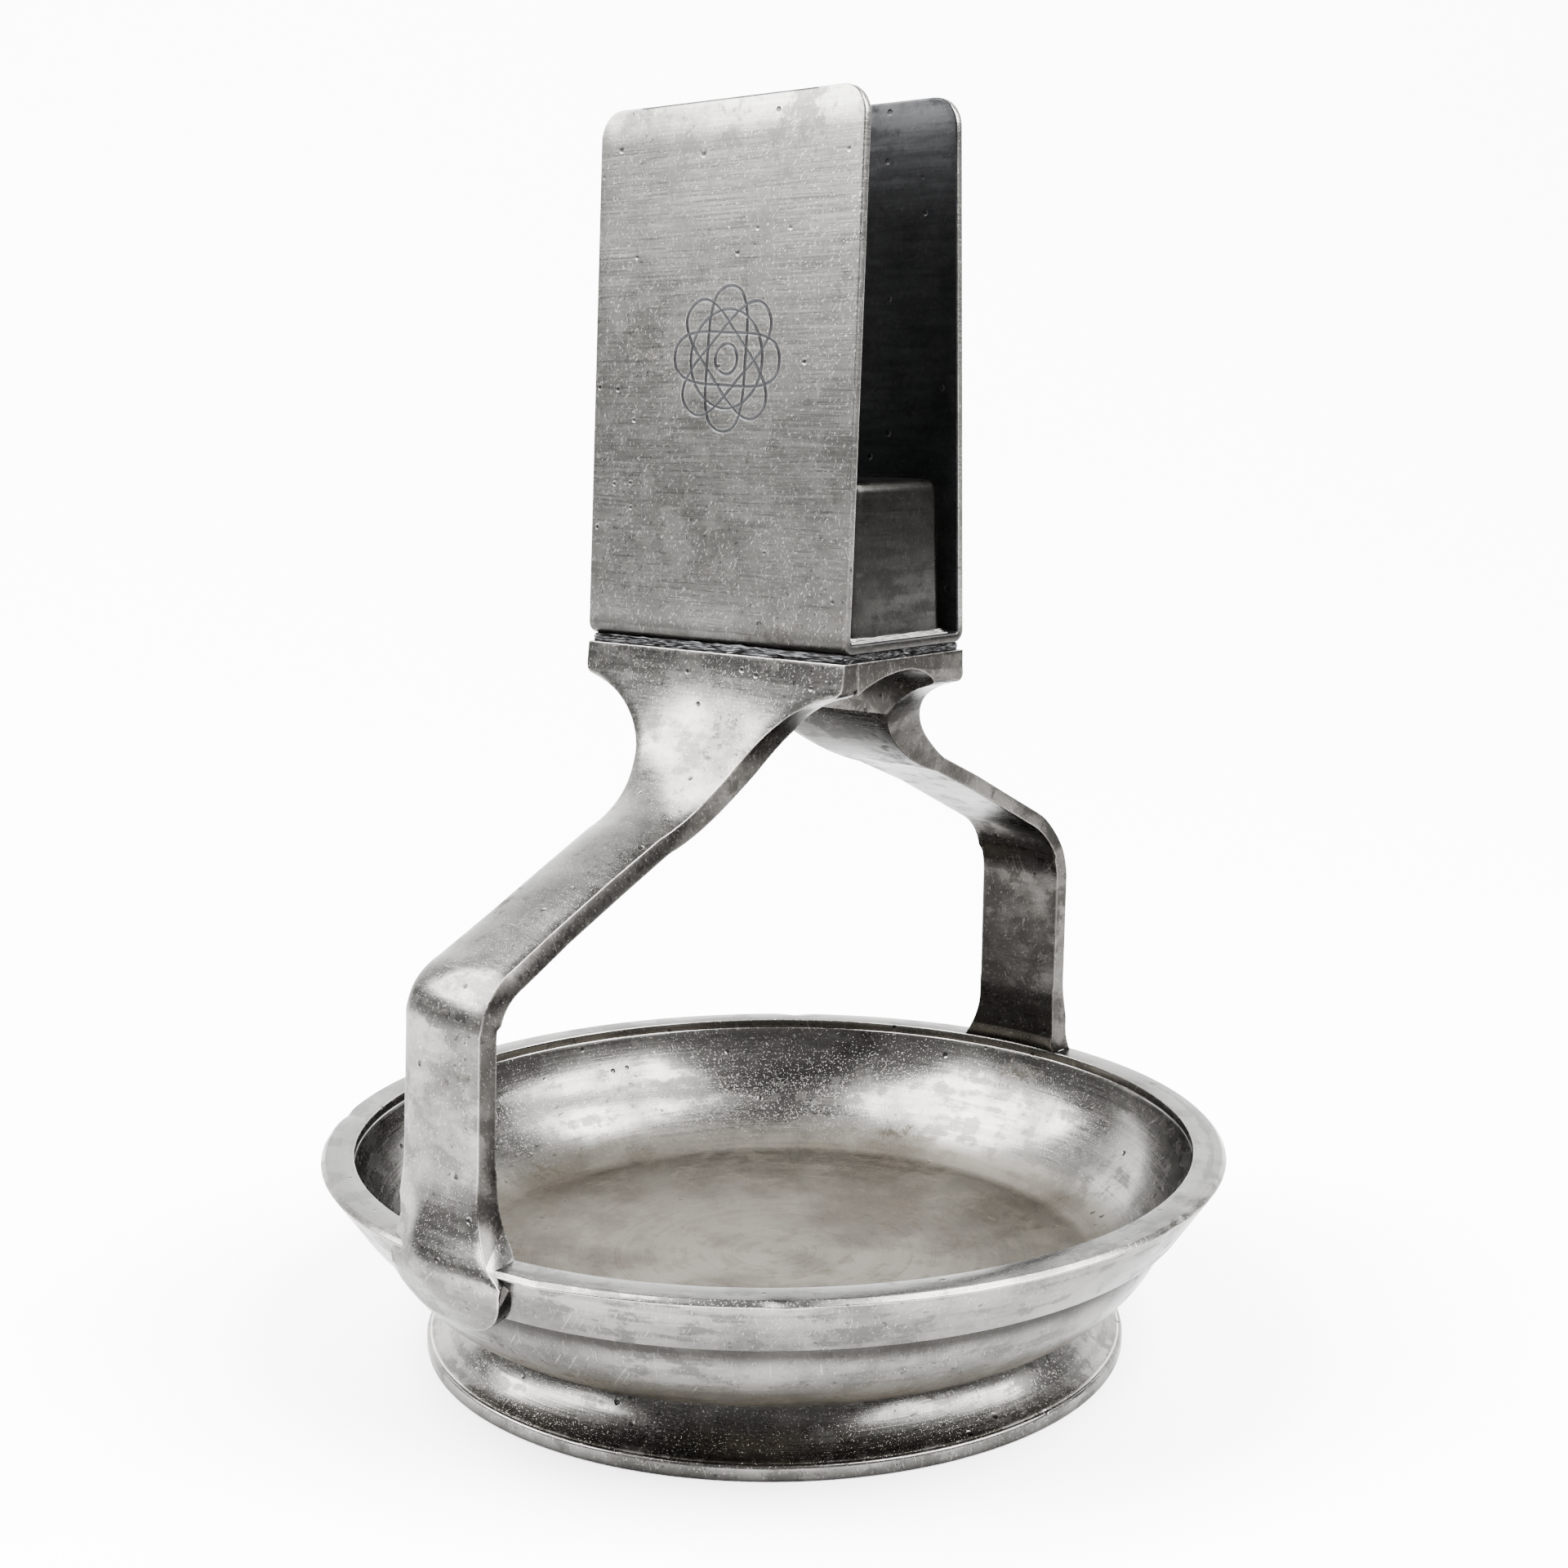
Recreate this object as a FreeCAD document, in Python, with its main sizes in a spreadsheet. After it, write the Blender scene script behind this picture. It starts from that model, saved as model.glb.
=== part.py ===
import FreeCAD, Part
import math
import os
import Sketcher

# Table stand for a matchbox: a footed ash dish, two arms rising from its rim, and a spring clip on top.
# Millimetres. +Z is up, the origin is the middle of the foot's underside.
# The arms stand at -Y (front) and +Y (rear); the clip is open towards -X and +X.

SIZES = [
    # foot
    ("foot_radius", 37.9, "outside of the base wire"),
    ("wire_height", 1.7, "base wire, floor to top"),
    ("wire_width", 1.7, "base wire, across"),
    ("foot_edge_radius", 37.6, "lower edge of the flared foot"),
    ("foot_neck_radius", 33.2, "narrowest part of the foot"),
    ("foot_sheet", 1.2, "thickness of the foot's metal"),
    ("foot_flange", 2.6, "width of the flange soldered to the bowl"),
    ("foot_flare", 7.0, "radius of the foot's hollow curve"),
    # bowl
    ("bowl_underside", 6.9, "height of the bowl's flat underside"),
    ("bowl_floor", 8.4, "height of the bowl's flat floor"),
    ("bowl_base_radius", 36.4, "outside, where the underside turns up"),
    ("bowl_floor_radius", 34.2, "inside, where the floor turns up"),
    ("bowl_swell", 15.0, "radius of the wall's outer curve"),
    ("bowl_hollow", 14.5, "radius of the wall's inner curve"),
    ("bowl_seat_radius", 43.8, "outside of the wall under the rim band"),
    ("bowl_lip_radius", 45.9, "outside of the wall's top edge"),
    ("bowl_lip_height", 21.2, "height of the wall's top edge"),
    # rim band
    ("rim_radius", 48.4, "outside of the rim"),
    ("rim_bore", 44.9, "inside of the rim"),
    ("rim_height", 22.2, "top of the rim"),
    ("rim_chamfer", 0.5, "worn outer edge of the rim"),
    ("band_radius", 44.4, "lower edge of the conical band"),
    ("band_height", 15.9, "height of that lower edge"),
    # arms, measured in their own side view: reach is the distance from the stand's axis
    ("shoulder_top", 75.1, "top of both shoulders"),
    ("shoulder_reach", 9.4, "outer face of a shoulder"),
    ("shoulder_sheet", 2.0, "thickness of the front shoulder"),
    ("shoulder_half", 18.0, "half the width of a shoulder"),
    ("shoulder_end", 2.2, "height of a shoulder's square end"),
    ("shoulder_round", 1.3, "rounding under a shoulder's end"),
    ("bow_reach", 11.4, "outer face where the shoulder has turned outward"),
    ("bow_height", 65.9, "height of that turn"),
    ("slope_reach", 21.7, "upper end of the straight slope"),
    ("slope_height", 58.0, "its height"),
    ("elbow_reach", 41.2, "lower end of the straight slope"),
    ("elbow_height", 48.5, "its height"),
    ("leg_reach", 45.5, "outer face at the top of the leg"),
    ("leg_height", 43.2, "its height"),
    ("ankle_reach", 46.2, "outer face at the bottom of the leg"),
    ("ankle_height", 26.5, "its height"),
    ("arm_sheet", 1.7, "thickness of the slope and the leg"),
    ("arch_height", 73.8, "highest point of the bridge's underside"),
    ("arch_spring", 71.9, "bridge's underside at the seam"),
    ("neck_half", 7.0, "half width at the foot of the cove"),
    ("neck_height", 63.2, "height of the foot of the cove"),
    ("slope_half", 5.2, "half width of the slope"),
    ("leg_half", 5.7, "half width of the leg"),
    ("flare_half", 7.4, "width from the middle where the foot spreads to one side"),
    ("flare_height", 23.7, "height of that point"),
    ("tongue_half", 10.4, "width of the tongue from the middle, on that side"),
    ("tongue_height", 21.2, "height of the tongue's widest point"),
    ("tongue_tip", 13.9, "lowest point of the tongue"),
    ("tongue_sheet", 1.3, "thickness of the tongue over the band"),
    ("rear_rise", 3.2, "how much higher the rear arm's slope and elbow are"),
    # seat plate, clip and lug
    ("seat_inset", 0.7, "how far the seat plate is set in from the shoulders"),
    ("clip_height", 130.0, "top of the clip and of the stand"),
    ("clip_base", 75.95, "underside of the clip"),
    ("clip_width", 36.0, "width of the strip"),
    ("clip_sheet", 0.95, "thickness of the strip"),
    ("clip_half", 9.45, "half the clip's depth at its base"),
    ("clip_bend", 1.3, "outer radius of the two bends"),
    ("clip_corner", 3.0, "rounded top corners"),
    ("front_lean", 3.2, "how far the front cheek leans in at its top"),
    ("rear_lean", 1.0, "how far the rear cheek leans in at its top"),
    ("lug_length", 34.0, "lug along X"),
    ("lug_half", 7.2, "half the lug's depth at its base"),
    ("lug_top_half", 6.5, "half the lug's depth at its top"),
    ("lug_height", 15.7, "lug above the clip's floor"),
    ("lug_sheet", 0.8, "thickness of the lug's metal"),
    ("lug_round", 1.1, "rounding of the lug's edges"),
]


def make_sheet(doc):
    """Put every driving dimension in the spreadsheet, one row each: value, then what it is."""
    sheet = doc.addObject("Spreadsheet::Sheet", "Sizes")
    for row, (alias, value, meaning) in enumerate(SIZES, start=1):
        sheet.set(f"A{row}", alias)
        sheet.set(f"B{row}", str(value))
        sheet.set(f"C{row}", meaning)
        sheet.setAlias(f"B{row}", alias)
    doc.recompute()
    return sheet


def named(expression):
    """Turn words such as 'rim_radius - rim_chamfer' into references to the sheet."""
    words = []
    for word in expression.replace("(", " ( ").replace(")", " ) ").split():
        is_size = any(word == alias for alias, _, _ in SIZES)
        words.append(f"Sizes.{word}" if is_size else word)
    return " ".join(words)


def arc_between(start, end, radius):
    """The short arc from start to end. A positive radius turns left on the way, a negative one right."""
    chord = end - start
    height = math.sqrt(radius * radius - chord.Length * chord.Length / 4)
    left = FreeCAD.Vector(-chord.y, chord.x, 0).normalize()
    centre = (start + end) / 2 + left * math.copysign(height, radius)
    first, last = (start, end) if radius > 0 else (end, start)
    angle = [math.atan2(point.y - centre.y, point.x - centre.x) for point in (first, last)]
    if angle[1] < angle[0]:
        angle[1] += 2 * math.pi
    circle = Part.Circle(centre, FreeCAD.Vector(0, 0, 1), abs(radius))
    return Part.ArcOfCircle(circle, angle[0], angle[1])


def fix(sketch, kind, first, second, expression):
    """Add one dimension whose value is a sheet expression."""
    value = sketch.evalExpression(expression)
    sketch.addConstraint(Sketcher.Constraint(kind, *first, *second, float(value)))
    sketch.setExpression(f"Constraints[{sketch.ConstraintCount - 1}]", expression)


def draw_outline(sketch, corners):
    """Draw a closed outline. Each corner is (across, up) or (across, up, radius of the arc that leaves it)."""
    corners = [tuple(named(str(value)) for value in corner) for corner in corners]
    points = []
    for corner in corners:
        across, up = (float(sketch.evalExpression(text)) for text in corner[:2])
        points.append(FreeCAD.Vector(across, up, 0))
    ends = []
    for index, corner in enumerate(corners):
        start, end = points[index], points[(index + 1) % len(points)]
        if len(corner) == 2:
            edge = sketch.addGeometry(Part.LineSegment(start, end))
            ends.append((edge, 1, 2))
            continue
        radius = float(sketch.evalExpression(corner[2]))
        edge = sketch.addGeometry(arc_between(start, end, radius))
        ends.append((edge, 1, 2) if radius > 0 else (edge, 2, 1))
        sketch.addConstraint(Sketcher.Constraint("Radius", edge, abs(radius)))
        sketch.setExpression(f"Constraints[{sketch.ConstraintCount - 1}]", f"abs({corner[2]})")
    for index, (edge, start, _) in enumerate(ends):
        before, _, end = ends[index - 1]
        sketch.addConstraint(Sketcher.Constraint("Coincident", before, end, edge, start))
        fix(sketch, "DistanceX", (-1, 1), (edge, start), corners[index][0])
        fix(sketch, "DistanceY", (-1, 1), (edge, start), corners[index][1])


def add_sketch(body, plane, corners):
    """A sketch on one of the body's own origin planes."""
    sketch = body.newObject("Sketcher::SketchObject", f"{body.Name}_{plane}")
    support = next(item for item in body.Origin.OriginFeatures if item.Role == plane)
    sketch.AttachmentSupport = [(support, "")]
    sketch.MapMode = "FlatFace"
    draw_outline(sketch, corners)
    return sketch


def add_pad(body, sketch, length):
    """Pad a sketch equally to both sides of its plane."""
    pad = body.newObject("PartDesign::Pad", f"{body.Name}_Pad")
    pad.Profile = sketch
    pad.SideType = "Symmetric"
    pad.setExpression("Length", named(length))
    return pad


def add_turn(body, sketch, angle=360):
    """Turn a sketch around the vertical axis, equally to both sides of its plane."""
    turn = body.newObject("PartDesign::Revolution", f"{body.Name}_Turn")
    turn.Profile = sketch
    turn.ReferenceAxis = (sketch, ["V_Axis"])
    turn.Angle = angle
    turn.Midplane = angle != 360
    return turn


def add_body(doc, label):
    body = doc.addObject("PartDesign::Body", label)
    body.Label = label
    return body


def foot_wire(doc):
    """Plain wire ring under the edge of the foot."""
    body = add_body(doc, "foot_wire")
    inside = "foot_radius - wire_width"
    sketch = add_sketch(body, "XZ_Plane", [
        (inside, 0), ("foot_radius", 0), ("foot_radius", "wire_height"), (inside, "wire_height")])
    add_turn(body, sketch)


def foot_ring(doc):
    """Spun foot: a hollow curve from its edge up to a flange under the bowl."""
    body = add_body(doc, "foot_ring")
    inner_edge = "foot_edge_radius - foot_sheet"
    inner_neck = "foot_neck_radius - foot_sheet"
    flange_edge = "foot_neck_radius - foot_sheet - foot_flange"
    flange_under = "bowl_underside - foot_sheet"
    sketch = add_sketch(body, "XZ_Plane", [
        (inner_edge, "wire_height"),
        ("foot_edge_radius", "wire_height", "0 - foot_flare"),
        ("foot_neck_radius", "bowl_underside"),
        (flange_edge, "bowl_underside"),
        (flange_edge, flange_under),
        (inner_neck, flange_under, "foot_flare + foot_sheet")])
    add_turn(body, sketch)


def dish_bowl(doc):
    """Spun bowl: flat floor, rounded wall, top edge hidden inside the rim band."""
    body = add_body(doc, "dish_bowl")
    sketch = add_sketch(body, "XZ_Plane", [
        (0, "bowl_underside"),
        ("bowl_base_radius", "bowl_underside", "bowl_swell"),
        ("bowl_seat_radius", "band_height"),
        ("bowl_lip_radius", "bowl_lip_height"),
        ("rim_bore", "bowl_lip_height", "0 - bowl_hollow - 3"),
        ("bowl_floor_radius", "bowl_floor"),
        (0, "bowl_floor")])
    add_turn(body, sketch)


def rim_band(doc):
    """Heavy rim: flat on top, conical outside, capping the bowl's edge."""
    body = add_body(doc, "rim_band")
    sketch = add_sketch(body, "XZ_Plane", [
        ("bowl_seat_radius", "band_height"),
        ("band_radius", "band_height"),
        ("rim_radius", "rim_height - rim_chamfer"),
        ("rim_radius - rim_chamfer", "rim_height"),
        ("rim_bore", "rim_height"),
        ("rim_bore", "bowl_lip_height"),
        ("bowl_lip_radius", "bowl_lip_height")])
    add_turn(body, sketch)


def arm_side_view(inner_shoulder, hollow, rise):
    """An arm seen from the side.

    inner_shoulder is the inner outline from the slope up to the shoulder's top, hollow the radius of the curve
    that leads to it, and rise how much the slope and the elbow are lifted.
    """
    slope_under = f"slope_height - 0.9 * arm_sheet + {rise}"
    elbow_under = f"elbow_height - 0.9 * arm_sheet + {rise}"
    outer = [
        ("shoulder_reach", "shoulder_top"),
        ("shoulder_reach", f"bow_height + 4.6 + {rise}", 6.5),
        ("bow_reach", f"bow_height + {rise}", 41),
        ("slope_reach", f"slope_height + {rise}"),
        ("elbow_reach", f"elbow_height + {rise}", -6.6),
        ("leg_reach", f"leg_height + {rise}"),
        ("ankle_reach", "ankle_height"),
        ("ankle_reach", "rim_height")]
    inner = [
        ("ankle_reach - arm_sheet", "rim_height"),
        ("ankle_reach - arm_sheet", "ankle_height"),
        ("leg_reach - arm_sheet", f"leg_height - 0.8 + {rise}", 5),
        ("elbow_reach - 0.44 * arm_sheet", elbow_under),
        ("slope_reach - 0.44 * arm_sheet", slope_under, hollow)]
    return outer + inner + inner_shoulder


def foot_section():
    """The arm's foot on the rim and its tongue over the band, as a section through the stand's axis."""
    return [
        ("rim_bore", "rim_height"),
        ("rim_radius - rim_chamfer", "rim_height"),
        ("rim_radius", "rim_height - rim_chamfer"),
        ("band_radius", "band_height"),
        ("band_radius - 0.5", "tongue_tip"),
        ("band_radius + 0.2", "tongue_tip"),
        ("band_radius + 1.3 * tongue_sheet", "band_height - 1.0"),
        ("rim_radius + tongue_sheet", "rim_height - 0.9", 4.4),
        ("ankle_reach - 0.1", "ankle_height"),
        ("rim_bore + 0.4", "ankle_height")]


def arm_front_view():
    """An arm seen from the front: shoulder, cove, slope, leg, and a foot that spreads to the -X side only."""
    tip = (0, "tongue_tip - 0.1")
    upper = [
        ("shoulder_half", "shoulder_top + 1"),
        ("shoulder_half", "shoulder_top - shoulder_end", "0 - shoulder_round"),
        ("shoulder_half - shoulder_round", "shoulder_top - shoulder_end - shoulder_round", 13),
        ("neck_half", "neck_height", 16),
        ("slope_half", "slope_height - 1"),
        ("slope_half", "elbow_height + 1.5"),
        ("leg_half", "elbow_height - 2.0")]
    straight_side = upper + [("leg_half", "band_height + 1", -7)]
    spread_side = upper + [
        ("leg_half", "ankle_height", 6.5),
        ("flare_half", "flare_height", 5),
        ("tongue_half", "tongue_height", -9.5)]
    mirrored = []
    for index in range(len(spread_side) - 1, -1, -1):
        across, up = spread_side[index][:2]
        bend = spread_side[index - 1][2:] if index else ()
        mirrored.append((f"0 - ( {across} )", up) + bend)
    return straight_side + [tip + spread_side[-1][2:]] + mirrored


def arm(doc, label, side_view):
    """One cast arm, built reaching towards +Y."""
    body = add_body(doc, label)
    add_pad(body, add_sketch(body, "YZ_Plane", side_view), "2 * shoulder_half")
    turn = add_turn(body, add_sketch(body, "YZ_Plane", foot_section()), angle=36)
    doc.recompute()
    uncut = turn.Shape.Volume
    sketch = add_sketch(body, "XZ_Plane", [
        (-30, 0), (30, 0), (30, "shoulder_top + 2"), (-30, "shoulder_top + 2")])
    draw_outline(sketch, arm_front_view())
    cut = body.newObject("PartDesign::Pocket", f"{label}_Cut")
    cut.Profile = sketch
    cut.SideType = "Symmetric"
    cut.Type = "ThroughAll"
    doc.recompute()
    assert cut.Shape.Volume < uncut
    return body


def front_arm(doc):
    """The front casting. Its thin shoulder is soldered to the face of the rear casting's bridge."""
    inner_face = "shoulder_reach - shoulder_sheet"
    shoulder = [(inner_face, "bow_height + 2"), (inner_face, "shoulder_top")]
    body = arm(doc, "front_arm", arm_side_view(shoulder, hollow=-21, rise="0"))
    body.Placement = FreeCAD.Placement(FreeCAD.Vector(), FreeCAD.Rotation(FreeCAD.Vector(0, 0, 1), 180))


def rear_arm(doc):
    """The rear casting, bent a little higher, which also carries the bridge under the seat plate."""
    seam = "0 - shoulder_reach + shoulder_sheet"
    shoulder = [
        ("shoulder_reach - shoulder_sheet - 0.4", "bow_height + 2", 6.6),
        ("1.0", "arch_height", 18),
        (seam, "arch_spring"),
        (seam, "shoulder_top")]
    arm(doc, "rear_arm", arm_side_view(shoulder, hollow=-30, rise="rear_rise"))


def seat_plate(doc):
    """Thin plate between the shoulders and the clip, set in so that a dark groove shows all round."""
    plate = doc.addObject("Part::Box", "seat_plate")
    plate.Label = "seat_plate"
    plate.setExpression("Length", named("2 * ( shoulder_half - seat_inset )"))
    plate.setExpression("Width", named("2 * ( shoulder_reach - seat_inset )"))
    plate.setExpression("Height", named("clip_base - shoulder_top"))
    plate.setExpression("Placement.Base.x", named("seat_inset - shoulder_half"))
    plate.setExpression("Placement.Base.y", named("seat_inset - shoulder_reach"))
    plate.setExpression("Placement.Base.z", named("shoulder_top"))


def edges_where(shape, test):
    """Names of the edges whose middle passes the test."""
    names = []
    for number, edge in enumerate(shape.Edges, start=1):
        middle = edge.valueAt((edge.FirstParameter + edge.LastParameter) / 2)
        if test(edge, middle):
            names.append(f"Edge{number}")
    return names


def runs_along(edge, axis):
    """Whether a straight edge is parallel to an axis within a few degrees."""
    direction = edge.tangentAt(edge.FirstParameter)
    return edge.Curve.TypeId == "Part::GeomLine" and abs(direction.dot(axis)) > 0.99


def spring_clip(doc):
    """One strip bent to a U: a floor and two cheeks that lean in to grip the matchbox."""
    body = add_body(doc, "spring_clip")
    bend = "clip_base + clip_bend"
    inner_bend = "clip_bend - clip_sheet"
    flat = "clip_half - clip_bend"
    inner = "clip_half - clip_sheet"
    floor = "clip_base + clip_sheet"
    sketch = add_sketch(body, "YZ_Plane", [
        ("front_lean - clip_half", "clip_height"),
        ("0 - clip_half", bend, "clip_bend"),
        ("clip_bend - clip_half", "clip_base"),
        (flat, "clip_base", "clip_bend"),
        ("clip_half", bend),
        ("clip_half - rear_lean", "clip_height"),
        (f"{inner} - rear_lean", "clip_height"),
        (inner, bend, f"0 - ( {inner_bend} )"),
        (flat, floor),
        ("clip_bend - clip_half", floor, f"0 - ( {inner_bend} )"),
        ("clip_sheet - clip_half", bend),
        ("front_lean + clip_sheet - clip_half", "clip_height")])
    pad = add_pad(body, sketch, "clip_width")
    doc.recompute()
    top = sketch.evalExpression(named("clip_height"))
    across = FreeCAD.Vector(0, 1, 0)
    corners = edges_where(pad.Shape, lambda edge, mid: runs_along(edge, across) and mid.z > top - 0.1)
    fillet = body.newObject("PartDesign::Fillet", "spring_clip_Corners")
    fillet.Base = (pad, corners)
    fillet.setExpression("Radius", named("clip_corner"))


def box_lug(doc):
    """Hollow lug, open below, that pushes the tray up when the matchbox is set over it."""
    body = add_body(doc, "box_lug")
    floor = "clip_base + clip_sheet"
    sketch = add_sketch(body, "YZ_Plane", [
        ("0 - lug_half", floor),
        ("lug_half", floor),
        ("lug_top_half", f"{floor} + lug_height"),
        ("0 - lug_top_half", f"{floor} + lug_height")])
    pad = add_pad(body, sketch, "lug_length")
    doc.recompute()
    bottom = sketch.evalExpression(named(floor))
    rounded = edges_where(pad.Shape, lambda edge, mid: mid.z > bottom + 0.1)
    fillet = body.newObject("PartDesign::Fillet", "box_lug_Edges")
    fillet.Base = (pad, rounded)
    fillet.setExpression("Radius", named("lug_round"))
    doc.recompute()
    solid = fillet.Shape.Volume
    inner_top = f"{floor} + lug_height - lug_sheet"
    inside = add_sketch(body, "YZ_Plane", [
        ("lug_sheet - lug_half", floor),
        ("lug_half - lug_sheet", floor),
        ("lug_top_half - lug_sheet", inner_top),
        ("lug_sheet - lug_top_half", inner_top)])
    hollow = body.newObject("PartDesign::Pocket", "box_lug_Hollow")
    hollow.Profile = inside
    hollow.SideType = "Symmetric"
    hollow.setExpression("Length", named("lug_length - 2 * lug_sheet"))
    doc.recompute()
    assert hollow.Shape.Volume < solid


def write_parts(doc):
    """Check every object, then write one STEP file for each sub-part."""
    doc.recompute()
    for item in doc.Objects:
        assert not {"Invalid", "Error"} & set(item.State), f"{item.Name}: {item.State}"
    os.makedirs("parts", exist_ok=True)
    bodies = [item for item in doc.Objects if item.TypeId == "PartDesign::Body"]
    for piece in bodies + [doc.getObject("seat_plate")]:
        shape = piece.Shape
        assert not shape.isNull() and shape.isValid() and len(shape.Solids) == 1, piece.Label
        shape.exportStep(f"parts/{piece.Label}.step")
        box = shape.BoundBox
        print(f"{piece.Label:12s} {shape.Volume:9.1f} mm3  x {box.XMin:6.1f} {box.XMax:6.1f}"
              f"  y {box.YMin:6.1f} {box.YMax:6.1f}  z {box.ZMin:6.1f} {box.ZMax:6.1f}")


doc = FreeCAD.newDocument("matchbox_stand")
make_sheet(doc)
foot_wire(doc)
foot_ring(doc)
dish_bowl(doc)
rim_band(doc)
front_arm(doc)
rear_arm(doc)
seat_plate(doc)
spring_clip(doc)
box_lug(doc)
write_parts(doc)
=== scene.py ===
# %% [markdown]
# # A matchbox stand in worn silver plate
#
# The stand is a footed ash dish. Two cast arms rise from its rim and meet under a spring clip, which
# grips a matchbox stood on end over a hollow lug. Every piece is soldered to the next, so all of them
# ride on one body.
#
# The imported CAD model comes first: it fixes where everything is. Each piece below takes its place from
# it.

# %% Load the frame
import math
from types import SimpleNamespace

import bmesh
import bpy
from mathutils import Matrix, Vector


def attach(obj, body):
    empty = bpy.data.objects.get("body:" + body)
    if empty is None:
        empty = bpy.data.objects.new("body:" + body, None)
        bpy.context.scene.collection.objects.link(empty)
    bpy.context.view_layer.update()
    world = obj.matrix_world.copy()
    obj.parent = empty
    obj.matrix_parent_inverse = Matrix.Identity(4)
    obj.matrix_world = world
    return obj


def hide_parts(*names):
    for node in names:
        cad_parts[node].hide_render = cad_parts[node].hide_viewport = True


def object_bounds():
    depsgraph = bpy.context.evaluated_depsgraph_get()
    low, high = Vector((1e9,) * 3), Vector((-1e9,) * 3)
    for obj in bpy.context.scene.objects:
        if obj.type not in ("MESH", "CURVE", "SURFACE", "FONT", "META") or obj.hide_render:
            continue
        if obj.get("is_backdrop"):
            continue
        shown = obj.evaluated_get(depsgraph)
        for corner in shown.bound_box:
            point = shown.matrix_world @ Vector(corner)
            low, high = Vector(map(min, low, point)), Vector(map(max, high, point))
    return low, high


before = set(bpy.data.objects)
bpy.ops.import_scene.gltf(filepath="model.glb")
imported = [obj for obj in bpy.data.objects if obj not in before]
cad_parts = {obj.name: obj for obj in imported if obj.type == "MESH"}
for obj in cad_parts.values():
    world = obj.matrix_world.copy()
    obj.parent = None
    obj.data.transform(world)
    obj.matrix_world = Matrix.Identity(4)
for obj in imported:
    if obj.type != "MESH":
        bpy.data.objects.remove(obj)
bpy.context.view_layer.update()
MM = 0.001

# %% [markdown]
# ## Camera
#
# A 52 mm lens a little above the clip's lug, looking slightly down and seeing the stand from its front
# right. The stand is close to the camera, so the dish shows strong perspective.

# %% Camera
camera_data = bpy.data.cameras.new("camera")
camera_data.lens = 52.43
camera_data.sensor_width = 36.0
camera = bpy.data.objects.new("camera", camera_data)
bpy.context.scene.collection.objects.link(camera)
camera.location = (160.55 * MM, -176.70 * MM, 100.25 * MM)
VIEW_AZIMUTH = math.radians(41.94)
VIEW_DROP = math.radians(9.5)
camera.rotation_euler = (math.pi / 2 - VIEW_DROP, math.radians(0.17), VIEW_AZIMUTH)
bpy.context.scene.camera = camera

# %% [markdown]
# ## Small helpers
#
# Blender's operators act on whatever is selected and active. These helpers select one piece, or only the
# vertices, edges or faces of it that pass a test, so that each step below reads like the step made by
# hand.

# %% Selection helpers
def choose(piece):
    """Make one piece the only selected and active one."""
    bpy.ops.object.select_all(action="DESELECT")
    piece.select_set(True)
    bpy.context.view_layer.objects.active = piece


def pick(kind, test):
    """In edit mode, select the vertices, edges or faces (kind VERT, EDGE or FACE) that pass the test."""
    bpy.ops.mesh.select_mode(type=kind)
    bpy.ops.mesh.select_all(action="DESELECT")
    mesh = bmesh.from_edit_mesh(bpy.context.object.data)
    elements = {"VERT": mesh.verts, "EDGE": mesh.edges, "FACE": mesh.faces}[kind]
    for element in elements:
        if test(element):
            element.select_set(True)
    mesh.select_flush_mode()
    bmesh.update_edit_mesh(bpy.context.object.data)


def middle(element):
    """The middle of an edge or a face, in millimetres."""
    total = sum((vert.co for vert in element.verts), element.verts[0].co * 0)
    return total / len(element.verts) / MM


def fresh(name):
    """Name the object that an operator has just added, and open it in edit mode with all of it selected."""
    piece = bpy.context.object
    piece.name = name
    piece.data.name = name
    choose(piece)
    bpy.ops.object.mode_set(mode="EDIT")
    bpy.ops.mesh.select_all(action="SELECT")
    return piece


def apply_modifier(piece, kind, **settings):
    """Add a modifier, set it and apply it."""
    choose(piece)
    modifier = piece.modifiers.new(kind.lower(), kind)
    for name, value in settings.items():
        setattr(modifier, name, value)
    bpy.ops.object.modifier_apply(modifier=modifier.name)


def soften(piece, width, segments=3, sharp=32):
    """Round every sharp edge, then shade smooth."""
    apply_modifier(piece, "BEVEL", width=width * MM, segments=segments, limit_method="ANGLE",
                   angle_limit=math.radians(sharp), harden_normals=False)
    choose(piece)
    bpy.ops.object.shade_smooth_by_angle(angle=math.radians(sharp))


def dent(place, push, reach):
    """In edit mode, push the metal near a place by a small step; the push fades out over reach. All in mm."""
    mesh = bmesh.from_edit_mesh(bpy.context.object.data)
    nearest = min(mesh.verts, key=lambda vert: sum((vert.co[i] / MM - place[i]) ** 2 for i in range(3)))
    pick("VERT", lambda vert: vert.index == nearest.index)
    bpy.ops.transform.translate(value=[step * MM for step in push], use_proportional_edit=True,
                                proportional_edit_falloff="SMOOTH", proportional_size=reach * MM)


def arc(start, end, radius, steps=12):
    """Points after start up to end on their short arc. A positive radius turns left on the way."""
    (x0, y0), (x1, y1) = start, end
    chord = math.hypot(x1 - x0, y1 - y0)
    height = math.sqrt(radius * radius - chord * chord / 4)
    side = math.copysign(1, radius)
    cx = (x0 + x1) / 2 - side * height * (y1 - y0) / chord
    cy = (y0 + y1) / 2 + side * height * (x1 - x0) / chord
    first = math.atan2(y0 - cy, x0 - cx)
    sweep = 2 * math.asin(chord / 2 / abs(radius)) * side
    size = abs(radius)
    angles = [first + sweep * step / steps for step in range(1, steps + 1)]
    return [(cx + size * math.cos(angle), cy + size * math.sin(angle)) for angle in angles]


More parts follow.
